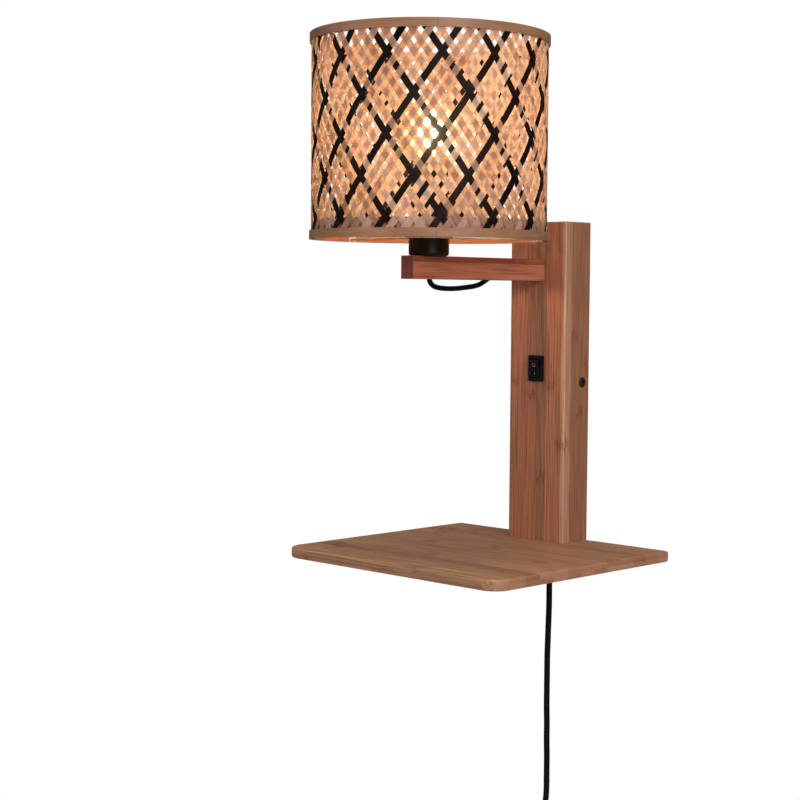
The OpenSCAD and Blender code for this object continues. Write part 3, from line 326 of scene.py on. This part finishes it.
def split_strip(name, tones, through, roughness, gloss):
    """Split bamboo, shaved to half a millimetre: matt with fine long fibres, each strip a
    little darker or lighter than the next. through is the share of light that it lets
    through, so that plain strips glow with the bulb behind them."""
    material, tree, mm = start_material(name)
    strip_tone = add(tree, "ShaderNodeAttribute", attribute_name="strip_tone")
    along_strip = add(tree, "ShaderNodeUVMap", uv_map="strip_mm")
    # fibres 0.3 mm wide, drawn 0.6 mm so that they show
    stretched = add(tree, "ShaderNodeMapping", {"Vector": along_strip, "Scale": (1.7, 0.04, 1)})
    fibre = add(tree, "ShaderNodeTexNoise", {"Vector": stretched, "Scale": 1.0, "Detail": 3.0})
    patch = add(tree, "ShaderNodeTexNoise", {"Vector": mm, "Scale": 0.05, "Detail": 2.0})
    tone = add(tree, "ShaderNodeMath", [strip_tone.outputs["Fac"], 0.7, add(
        tree, "ShaderNodeMath", [patch, 0.3], operation="MULTIPLY")], operation="MULTIPLY_ADD")
    face = add(tree, "ShaderNodeValToRGB", [tone], stops=tones)
    face = add(tree, "ShaderNodeMix", [0.6, face, add(
        tree, "ShaderNodeValToRGB", [fibre], stops=((0.32, "b6a090"), (0.58, "ffffff")))],
        data_type="RGBA", blend_type="MULTIPLY")
    relief = add(tree, "ShaderNodeBump", {"Height": fibre, "Strength": 0.2,
                                          "Distance": 0.0002})
    shader = add(tree, "ShaderNodeBsdfPrincipled", {
        "Base Color": face, "Roughness": roughness, "Normal": relief, "IOR": 1.5,
        "Specular IOR Level": gloss})
    if through > 0:
        lit = add(tree, "ShaderNodeMix", [0.6, linear("f8f0dc"), face], data_type="RGBA",
                  blend_type="MULTIPLY")
        passed = add(tree, "ShaderNodeBsdfTranslucent", {"Color": lit})
        shader = add(tree, "ShaderNodeMixShader", [through, shader, passed])
    add(tree, "ShaderNodeOutputMaterial", [shader])
    return material


def moulded(name, hex_colour, roughness, grain_mm, relief_mm, gloss=0.3, clouding=0.35):
    """A moulded or pressed surface: an even colour with faint clouding, and a fine grain that
    breaks up its highlights."""
    material, tree, mm = start_material(name)
    grain = add(tree, "ShaderNodeTexNoise", {"Vector": mm, "Scale": 1 / grain_mm, "Detail": 3.0})
    cloud = add(tree, "ShaderNodeTexNoise", {"Vector": mm, "Scale": 0.06, "Detail": 2.0})
    colour = add(tree, "ShaderNodeMix", [clouding, linear(hex_colour), add(
        tree, "ShaderNodeValToRGB", [cloud], stops=((0.3, "c8c4c0"), (0.7, "ffffff")))],
        data_type="RGBA", blend_type="MULTIPLY")
    dull = add(tree, "ShaderNodeMapRange", {"Value": grain, "To Min": max(roughness - 0.06, 0.02),
                                            "To Max": roughness + 0.08})
    relief = add(tree, "ShaderNodeBump", {"Height": grain, "Strength": 0.15,
                                          "Distance": relief_mm * MM})
    shader = add(tree, "ShaderNodeBsdfPrincipled", {
        "Base Color": colour, "Roughness": dull, "Normal": relief, "IOR": 1.5,
        "Specular IOR Level": gloss})
    add(tree, "ShaderNodeOutputMaterial", [shader])
    return material


def plated(name, hex_colour, roughness, grain_mm):
    """Plated or turned metal: a bright base with soft clouds in its polish and fine marks."""
    material, tree, mm = start_material(name)
    stretched = add(tree, "ShaderNodeMapping", {"Vector": mm, "Scale": (1, 1, 6)})
    marks = add(tree, "ShaderNodeTexNoise", {"Vector": stretched, "Scale": 1 / grain_mm,
                                             "Detail": 4.0})
    cloud = add(tree, "ShaderNodeTexNoise", {"Vector": mm, "Scale": 0.12, "Detail": 2.0})
    colour = add(tree, "ShaderNodeMix", [0.4, linear(hex_colour), add(
        tree, "ShaderNodeValToRGB", [cloud], stops=((0.3, "b8b4ac"), (0.7, "ffffff")))],
        data_type="RGBA", blend_type="MULTIPLY")
    dull = add(tree, "ShaderNodeMapRange", {"Value": marks, "To Min": roughness - 0.08,
                                            "To Max": roughness + 0.12})
    relief = add(tree, "ShaderNodeBump", {"Height": marks, "Strength": 0.1,
                                          "Distance": 0.00005})
    shader = add(tree, "ShaderNodeBsdfPrincipled", {
        "Base Color": colour, "Roughness": dull, "Normal": relief, "Metallic": 1.0})
    add(tree, "ShaderNodeOutputMaterial", [shader])
    return material


def frosted_glass(name, hex_colour, strength, clear):
    """Lightly frosted glass round a lit core: the core shows through as the brightest spot and
    the glass itself glows softly round it."""
    material, tree, mm = start_material(name)
    cloud = add(tree, "ShaderNodeTexNoise", {"Vector": mm, "Scale": 0.08, "Detail": 1.0})
    glow = add(tree, "ShaderNodeValToRGB", [cloud], stops=((0.3, hex_colour), (0.7, "ffdca8")))
    frost = add(tree, "ShaderNodeBsdfPrincipled", {
        "Base Color": linear("4a4236"), "Roughness": 0.18, "IOR": 1.52,
        "Emission Color": glow, "Emission Strength": strength})
    see_through = add(tree, "ShaderNodeBsdfTransparent", {"Color": (1, 1, 1, 1)})
    add(tree, "ShaderNodeOutputMaterial", [add(
        tree, "ShaderNodeMixShader", [clear, frost, see_through])])
    return material


def lit_phosphor(name, hex_colour, strength):
    """Lit phosphor over the lamp's light source: white-hot, slightly mottled."""
    material, tree, mm = start_material(name)
    mottle = add(tree, "ShaderNodeTexNoise", {"Vector": mm, "Scale": 0.5, "Detail": 2.0})
    glow = add(tree, "ShaderNodeValToRGB", [mottle], stops=((0.3, hex_colour), (0.7, "ffe8bc")))
    shader = add(tree, "ShaderNodeBsdfPrincipled", {
        "Base Color": linear("f4e2b0"), "Roughness": 0.5, "IOR": 1.5,
        "Emission Color": glow, "Emission Strength": strength})
    add(tree, "ShaderNodeOutputMaterial", [shader])
    return material


X, Y, Z = 0, 1, 2
# all sizes in capitals are in millimetres, or degrees where that is said
LAMP_Y = -157.5                             # the shade's upright axis
ARM_TOP, ARM_LAMINA = 99.0, 4.6

# the column: six strips across its front and four plies deep, with one pale strip that wraps
# its front right edge
bamboo_column = laminated_bamboo(
    "oiled_laminated_bamboo_column", Z, X, Y, (9.757, 7.9), (60, -0.0063),
    ((0.18, "8b5f44"), (0.42, "96674a"), (0.66, "a3664a"), (0.9, "ae7759")),
    ((X, "GREATER_THAN", 25.7), (Y, "LESS_THAN", -23.6)), ("ad8266", "ba8e70"),
    ("4a241a", "6b3c2b", "7a4935"))
# the arm: one deep strip with a thin dark lamina on top of it
bamboo_arm = laminated_bamboo(
    "oiled_laminated_bamboo_arm", Y, Z, X, (12.95, 13.6), (-6.2896, 0.5),
    ((0.1, "a26248"), (0.5, "b06e52"), (0.9, "ba795c")),
    ((Z, "GREATER_THAN", ARM_TOP - ARM_LAMINA),), ("82402f", "924c36"),
    ("3c160f", "6c3427", "783d2d"), knuckle=310)
# the shelf: thirteen strips across its depth and two plies, whose ends show as blocks
bamboo_shelf = laminated_bamboo(
    "oiled_laminated_bamboo_shelf", X, Y, Z, (15.62, 4.27), (-0.002, 32.206),
    ((0.1, "8f6648"), (0.5, "9e7555"), (0.9, "ab8362")), (), (),
    ("5a3526", "84573f", "9a6c52"), knuckle=260)
# the hoops: a brown veneer outside; inside, the same veneer with the bulb's warm light painted in
bamboo_hoop = bent_bamboo(
    "bent_bamboo_veneer", ((0.3, "7e5439"), (0.5, "8b6045"), (0.7, "976c50")), LAMP_Y, 90)
# the top inner hoop: painted warm bulb light, redder and brighter than the outer veneer
bamboo_hoop_inner_painted_light = bent_bamboo(
    "bent_bamboo_veneer_inner_painted_light", ((0.3, "ab7046"), (0.7, "ba825a")), LAMP_Y, 86)
# the bottom inner hoop: painted warm bulb light too, dimmer than on the top inner hoop
bamboo_hoop_low_painted_light = bent_bamboo(
    "bent_bamboo_veneer_low_painted_light", ((0.3, "96563a"), (0.7, "a36446")), LAMP_Y, 86)
natural_strip = split_strip(
    "split_bamboo_natural", ((0.1, "b88d74"), (0.5, "d6b098"), (0.9, "eccdb9")), 0.6, 0.6, 0.25)
black_strip = split_strip(
    "split_bamboo_stained_black", ((0.2, "120806"), (0.8, "1e0f0b")), 0, 0.5, 0.05)

black_abs = moulded("moulded_black_abs", "0c0807", 0.4, 0.6, 0.02, 0.2)
black_gloss = moulded("polished_black_polycarbonate", "0a0706", 0.2, 2.0, 0.01, 0.32)
black_thermoset = moulded("pressed_black_thermoset", "190a05", 0.34, 0.9, 0.02, 0.15)
black_pvc = moulded("extruded_black_pvc", "050404", 0.5, 0.8, 0.02, 0.1)
white_nylon = moulded("moulded_white_nylon", "dcdad2", 0.5, 0.7, 0.02)
white_enamel = moulded("moulded_white_lamp_base", "e4e2da", 0.38, 1.0, 0.01)
steatite = moulded("pressed_steatite_ceramic", "ded8c8", 0.6, 0.5, 0.04)
brown_core = moulded("extruded_brown_pvc", "4d2a16", 0.45, 0.8, 0.01)
blue_core = moulded("extruded_blue_pvc", "1f4f9c", 0.45, 0.8, 0.01)
mark_paint = moulded("printed_grey_mark", "98908e", 0.5, 0.3, 0.01)
coated_steel = moulded("black_coated_steel", "2c170d", 0.38, 0.4, 0.01, 0.2)
zinc = plated("zinc_plated_steel", "a9abae", 0.34, 0.5)
satin_wire = plated("satin_zinc_plated_wire", "d6ccba", 0.62, 0.5)
nickel = plated("nickel_plated_brass", "bdb9b0", 0.22, 0.7)
brass = plated("turned_brass", "c09a4e", 0.3, 0.4)
glass = frosted_glass("frosted_glass_lit", "ffc880", 2.4, 0.86)
phosphor = lit_phosphor("lit_phosphor", "ffdca4", 295.0)

finishes = {
    bamboo_column: ["column"], bamboo_arm: ["lamp_arm"], bamboo_shelf: ["shelf_board"],
    bamboo_hoop: ["top_outer_hoop", "bottom_outer_hoop"],
    bamboo_hoop_inner_painted_light: ["top_inner_hoop"], bamboo_hoop_low_painted_light: ["bottom_inner_hoop"],
    black_abs: ["cord_gland", "plug_body", "plug_sleeves", "cord_tie", "switch_housing"],
    black_gloss: ["switch_rocker"],
    black_thermoset: ["holder_cap", "holder_skirt", "shade_ring"],
    black_pvc: ["mains_lead"],
    white_nylon: ["terminal_block", "cord_clamp"], white_enamel: ["bulb_collar"],
    steatite: ["holder_insert"], brown_core: ["brown_cores"], blue_core: ["blue_cores"],
    coated_steel: ["side_screws"],
    zinc: ["arm_screw", "shelf_screws", "wall_bracket", "clamp_screws", "holder_screws"],
    satin_wire: ["shade_spider"],
    nickel: ["plug_pins", "bulb_cap"],
    brass: ["switch_terminals", "terminal_screws", "holder_shell", "holder_contact",
            "bulb_contact"],
    glass: ["bulb_globe"]}
for material, names in finishes.items():
    for name in names:
        mesh = nodes[name].data
        mesh.materials.clear()
        mesh.materials.append(material)

# ---------------------------------------------------------------- cords

# the mains cord: a 5 mm round lead of 1.5 m that hangs from the gland and is wound up below
hang = [
    (0, -12.5, -159), (0, -12.5, -172), (0, -12.5, -186), (0, -13, -200), (0, -13.5, -214),
    (0, -14, -228), (0, -14, -242), (0, -14, -256), (0, -14, -270), (0, -13.5, -284),
    (0, -13.5, -298), (0, -13, -312), (0, -13, -326), (0, -13, -340), (-0.9, -13, -350),
    (-3.4, -13, -359), (-7.5, -13, -368), (-14.5, -13, -377.5), (-21.5, -13, -387),
    (-25.6, -12.7, -396), (-28.2, -12.2, -405.5), (-29, -11.7, -415), (-27.5, -11.1, -422.7),
    (-23.1, -10.6, -429.1), (-16.7, -10.3, -433.5), (-9, -10.25, -435), (-5, -10.25, -435)]
COIL_TURNS, COIL_INNER, COIL_PITCH, COIL_Y, COIL_Z = 6.25, 21.3, 5.5, -13, -473.5
COIL_STEP = 7.5                             # degrees


def coil_point(turned):
    """A point of the coil, which spirals in through its back layer and out through its front.
    It changes layers over half a turn in its middle."""
    middle = 180 * COIL_TURNS
    away = abs(turned - middle)
    radius = COIL_INNER + COIL_PITCH * away / 360
    if away > 90:
        climb = 1 if turned > middle else 0
    else:
        climb = (1 + math.sin(math.radians(turned - middle))) / 2
    a = math.radians(turned)
    return (radius * math.sin(a), COIL_Y + COIL_PITCH * (0.5 - climb),
            COIL_Z + radius * math.cos(a))


coil_end = coil_point(360 * COIL_TURNS)
lay = (smooth_route(hang, 4)
       + [coil_point(i * COIL_STEP) for i in range(int(360 * COIL_TURNS / COIL_STEP) + 1)]
       + [(coil_end[0], coil_end[1], coil_end[2] - drop) for drop in (5, 12, 20, 28, 35)])
mains_cord = cord_along("mains_cord_lay", lay, 5, black_pvc)
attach(mains_cord, "lamp")
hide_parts("mains_cord", "cord_coil", "cord_tail")

# the cable of the lampholder: down through the arm, in a loop under it and back inside it at
# MOUTH_Y, then along the arm's bore and down in the column
ARM_FOOT, ARM_BORE, MOUTH_Y = 81.5, 86.5, LAMP_Y + 64
loop = [
    (0, LAMP_Y, ARM_TOP + 8), (0, LAMP_Y, ARM_TOP), (0, LAMP_Y, ARM_FOOT + 8),
    (0, LAMP_Y + 0.1, ARM_FOOT + 4),
    (0, LAMP_Y + 0.7, ARM_FOOT), (0, LAMP_Y + 2.4, ARM_FOOT - 3),
    (0, LAMP_Y + 5.6, ARM_FOOT - 5.1), (0, LAMP_Y + 10.5, ARM_FOOT - 6.2),
    (0, LAMP_Y + 17, ARM_FOOT - 6.8), (0, LAMP_Y + 24, ARM_FOOT - 6.9),
    (0, LAMP_Y + 32, ARM_FOOT - 6.6), (0, LAMP_Y + 41, ARM_FOOT - 5.8),
    (0, LAMP_Y + 50, ARM_FOOT - 4.8), (0, LAMP_Y + 57, ARM_FOOT - 3.2), (0, MOUTH_Y, ARM_FOOT),
    (0, MOUTH_Y + 6, ARM_FOOT + 3), (0, MOUTH_Y + 11, ARM_BORE - 0.4), (0, MOUTH_Y + 17, ARM_BORE),
    (0, -56.5, ARM_BORE), (0, -31.5, ARM_BORE), (0, -23.5, ARM_BORE), (0, -16, ARM_BORE - 1.8),
    (0, -10.8, ARM_BORE - 7), (0, -8.4, ARM_BORE - 14), (0, -8, ARM_BORE - 21),
    (0, -8, ARM_BORE - 38)]
loop_points = smooth_route(loop, 4)
arm_cable = cord_along("arm_cable_run", loop_points, 4, black_pvc)
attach(arm_cable, "lamp")
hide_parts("arm_cable")

# ---------------------------------------------------------------- woven shade

SHADE_FOOT, SHADE_TOP = 110.7, 262.7
STRIPS, BLACK_EVERY, STRIP_W, STRIP_T = 56, 4, 4.95, 0.5
LEAN = 0.4495                               # degrees round the shade per millimetre of height
CROSSING_TURN, CROSSING_Z = -40.3, SHADE_TOP - 22.7     # a crossing of two black strips
WALL_R, WEAVE = 88.05, 0.36                 # middle of the wall, and a strip's way in and out
STEEPNESS = 2.2                             # how quickly a strip changes sides
SWAY_RUN = 30                               # height in which a strip's sway turns by a radian
END_GAP = 0.3                               # from a strip's ends to the hoops' edges
MAP_STEP = 10                               # from one strip's map to the next one's
STEP = 360 / STRIPS                         # degrees
ROW = STEP / (2 * LEAN)                     # height from one row of crossings to the next
SLOPE = math.radians(LEAN) * WALL_R         # sideways run per millimetre of height
ALONG = math.hypot(1, SLOPE)                # a strip's own run per millimetre of height
RUN_STEPS, ACROSS_STEPS = 96, 2


def strip_blank():
    """One flat strip, as a grid of unit size with a seam-free map of its own."""
    clear_selection()
    bpy.ops.mesh.primitive_grid_add(x_subdivisions=ACROSS_STEPS, y_subdivisions=RUN_STEPS,
                                    size=1, location=(0, 0, 0), calc_uvs=True)
    return bpy.context.active_object


def weave_strip(blank, number, side, luck):
    """A copy of the blank, bent round the shade and led over two strips and under two.
    side is -1 for a strip that goes right as it goes down, and 1 for the other way."""
    piece = blank.copy()
    piece.data = blank.data.copy()
    bpy.context.collection.objects.link(piece)
    width = STRIP_W * luck.uniform(0.94, 1.04)
    stray = luck.uniform(-0.34, 0.34)
    sway, sway_at = luck.uniform(0.08, 0.26), luck.uniform(0, 6.3)
    margin = END_GAP + width / 2 * SLOPE / ALONG
    low, high = SHADE_FOOT + margin, SHADE_TOP - margin
    uv = piece.data.uv_layers[0]
    uv.name = "strip_mm"
    places = []
    for vertex in piece.data.vertices:
        across, share = vertex.co.x * width, vertex.co.y + 0.5
        height = high + (low - high) * share
        places.append((across, share))
        # the place on the strip's middle line, and its way in and out of the wall
        drop = CROSSING_Z - height
        wave = max(-1, min(1, STEEPNESS * math.cos(math.tau * (drop / ROW + 0.5) / 4)))
        radius = WALL_R - side * WEAVE * wave
        turn = (CROSSING_TURN + number * STEP + stray
                + sway * math.sin(sway_at + height / SWAY_RUN) - side * LEAN * drop)
        # across the strip, square to its run
        turn += math.degrees(across / ALONG / WALL_R)
        height -= side * across * SLOPE / ALONG
        a = math.radians(turn)
        vertex.co = (radius * MM * math.cos(a), (LAMP_Y + radius * math.sin(a)) * MM,
                     height * MM)
    length = (high - low) * ALONG
    for loop_at in piece.data.loops:
        across, share = places[loop_at.vertex_index]
        uv.data[loop_at.index].uv = (across + MAP_STEP * number, share * length)
    tone = piece.data.attributes.new("strip_tone", "FLOAT", "POINT")
    shade_of_strip = luck.random()
    for value in tone.data:
        value.value = shade_of_strip
    return piece


def weave_layer(name, node, side, black, blank, seed):
    """All black strips of one direction, or all plain ones, as one piece with a thickness."""
    luck = random.Random(seed)
    strips = [weave_strip(blank, i, side, luck) for i in range(STRIPS)
              if (i % BLACK_EVERY == 0) == black]
    clear_selection()
    for strip in strips:
        strip.select_set(True)
    bpy.context.view_layer.objects.active = strips[0]
    bpy.ops.object.join()
    piece = bpy.context.active_object
    # the faces have to point out of the shade
    outward = sum((f.center - Vector((0, LAMP_Y * MM, f.center.z))).dot(f.normal)
                  for f in piece.data.polygons)
    if outward < 0:
        bpy.ops.object.mode_set(mode="EDIT")
        bpy.ops.mesh.select_all(action="SELECT")
        bpy.ops.mesh.flip_normals()
        bpy.ops.object.mode_set(mode="OBJECT")
    thick = piece.modifiers.new("thickness", "SOLIDIFY")
    thick.thickness = STRIP_T * MM
    thick.offset = 0
    bpy.ops.object.modifier_apply(modifier="thickness")
    finish_piece(piece, name, black_strip if black else natural_strip)
    bpy.ops.object.shade_smooth_by_angle(angle=math.radians(35))
    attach(piece, "lamp")
    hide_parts(node)


blank = strip_blank()
weave_layer("woven_left_natural", "left_strips_natural", -1, False, blank, 11)
weave_layer("woven_left_black", "left_strips_black", -1, True, blank, 12)
weave_layer("woven_right_natural", "right_strips_natural", 1, False, blank, 13)
weave_layer("woven_right_black", "right_strips_black", 1, True, blank, 14)
bpy.data.objects.remove(blank, do_unlink=True)

# ---------------------------------------------------------------- light source in the bulb

# a ball whose upper half is lifted, so that it becomes a rod with round ends
CORE_R, CORE_LIFT, CORE_Z = 8, 15, 184
clear_selection()
bpy.ops.mesh.primitive_uv_sphere_add(segments=32, ring_count=16, radius=CORE_R * MM,
                                     location=(0, LAMP_Y * MM, CORE_Z * MM))
core = bpy.context.active_object
bpy.ops.object.mode_set(mode="EDIT")
bpy.ops.mesh.select_all(action="DESELECT")
bpy.ops.object.mode_set(mode="OBJECT")
for vertex in core.data.vertices:
    vertex.select = vertex.co.z > 0.0001
bpy.ops.object.mode_set(mode="EDIT")
bpy.ops.transform.translate(value=(0, 0, CORE_LIFT * MM))
bpy.ops.object.mode_set(mode="OBJECT")
finish_piece(core, "bulb_core", phosphor)
bpy.ops.object.shade_smooth()
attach(core, "lamp")

# ---------------------------------------------------------------- marks on the rocker

PIVOT_Y, PIVOT_Z = -31.5, 11.0
REST_TILT = 11.0                            # degrees
# the rocker's face: how far its middle stands out from the pivot, how much further its ends
# do, and half of its height. Each half of it slopes in to the middle.
FACE_OUT, FACE_DISH, FACE_HALF = 3.0, 0.9, 6.16
MARK_UP, MARK_PROUD = 3.4, 0.02             # up the face from its middle, and out of the face


def place_mark(piece, up):
    """Lays a flat mark on the upper (1) or lower (-1) half of the rocker's face."""
    lie = Matrix.Rotation(math.radians(90), 4, "X")
    slope = Matrix.Rotation(up * math.atan2(FACE_DISH, FACE_HALF), 4, "X")
    out = FACE_OUT + FACE_DISH * MARK_UP / FACE_HALF + MARK_PROUD
    on_face = Matrix.Translation((0, -out * MM, up * MARK_UP * MM))
    tilt = Matrix.Rotation(math.radians(REST_TILT), 4, "X")
    pivot = Matrix.Translation((0, PIVOT_Y * MM, PIVOT_Z * MM))
    piece.matrix_world = pivot @ tilt @ on_face @ slope @ lie


# off: a flat ring
clear_selection()
bpy.ops.mesh.primitive_torus_add(major_segments=40, minor_segments=8, major_radius=1.45 * MM,
                                 minor_radius=0.14 * MM)
mark_off = bpy.context.active_object
mark_off.scale = (1, 1, 0.3)
only(mark_off)
bpy.ops.object.transform_apply(location=False, rotation=False, scale=True)
place_mark(mark_off, 1)
finish_piece(mark_off, "mark_off", mark_paint)
bpy.ops.object.shade_smooth_by_angle(angle=math.radians(40))

# on: a flat bar with softened edges
clear_selection()
bpy.ops.mesh.primitive_cube_add(size=1)
mark_on = bpy.context.active_object
mark_on.scale = (0.34 * MM, 2.1 * MM, 0.1 * MM)
only(mark_on)
bpy.ops.object.transform_apply(location=False, rotation=False, scale=True)
bpy.ops.object.mode_set(mode="EDIT")
bpy.ops.mesh.select_all(action="SELECT")
bpy.ops.mesh.bevel(offset=0.03 * MM, segments=2)
bpy.ops.object.mode_set(mode="OBJECT")
place_mark(mark_on, -1)
finish_piece(mark_on, "mark_on", mark_paint)
for mark in (mark_off, mark_on):
    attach(mark, "rocker")

# ---------------------------------------------------------------- floor and light

clear_selection()
bpy.ops.mesh.primitive_circle_add(vertices=96, radius=0.7, fill_type="NGON",
                                  location=(0, -0.1, cad_low.z - 0.004))
floor = bpy.context.active_object
pale_floor = moulded("plain_pale_floor", "ececea", 0.7, 4.0, 0.01, clouding=0.03)
finish_piece(floor, "floor", pale_floor)

# the room: white to the camera and dimmer as a light. Its mirror-like glints are held down
# further, so that black stays black.
ROOM_LIGHT, ROOM_GLINT = 0.34, 0.14
world = bpy.data.worlds.new("studio")
bpy.context.scene.world = world
world.use_nodes = True
sky = world.node_tree
sky.nodes.clear()
ray = add(sky, "ShaderNodeLightPath")
dim = add(sky, "ShaderNodeMath", [ray.outputs["Is Glossy Ray"], ROOM_GLINT - ROOM_LIGHT,
                                  ROOM_LIGHT], operation="MULTIPLY_ADD")
soft = add(sky, "ShaderNodeBackground", {"Color": (1, 1, 1, 1), "Strength": dim})
white = add(sky, "ShaderNodeBackground", {"Color": (1, 1, 1, 1), "Strength": 1.0})
seen = add(sky, "ShaderNodeMixShader", [ray.outputs["Is Camera Ray"], soft, white])
add(sky, "ShaderNodeOutputWorld", [seen])


def soft_box(name, place, size, power):
    """A large soft light that points at the lamp."""
    aim = Vector((0, -0.08, 0))
    data = bpy.data.lights.new(name, "AREA")
    data.size = size
    data.energy = power
    light = bpy.data.objects.new(name, data)
    bpy.context.collection.objects.link(light)
    light.location = place
    light.rotation_euler = (aim - Vector(place)).to_track_quat("-Z", "Y").to_euler()


soft_box("key", (-1.2, -1.9, 0.9), 1.0, 11)
soft_box("side", (2.0, -1.0, 0.65), 1.1, 43)
soft_box("top", (0.2, -0.5, 2.0), 1.0, 20)

bpy.context.scene.view_settings.view_transform = "Standard"

# the lens lets the bulb's bright spot spread a little over the strips round it
bpy.context.scene.use_nodes = True
lens = bpy.context.scene.node_tree
lens.nodes.clear()
bloom = add(lens, "CompositorNodeGlare", {
    "Image": add(lens, "CompositorNodeRLayers"), "Threshold": 3.0, "Strength": 0.12,
    "Size": 0.25}, glare_type="BLOOM")
add(lens, "CompositorNodeComposite", {"Image": bloom})
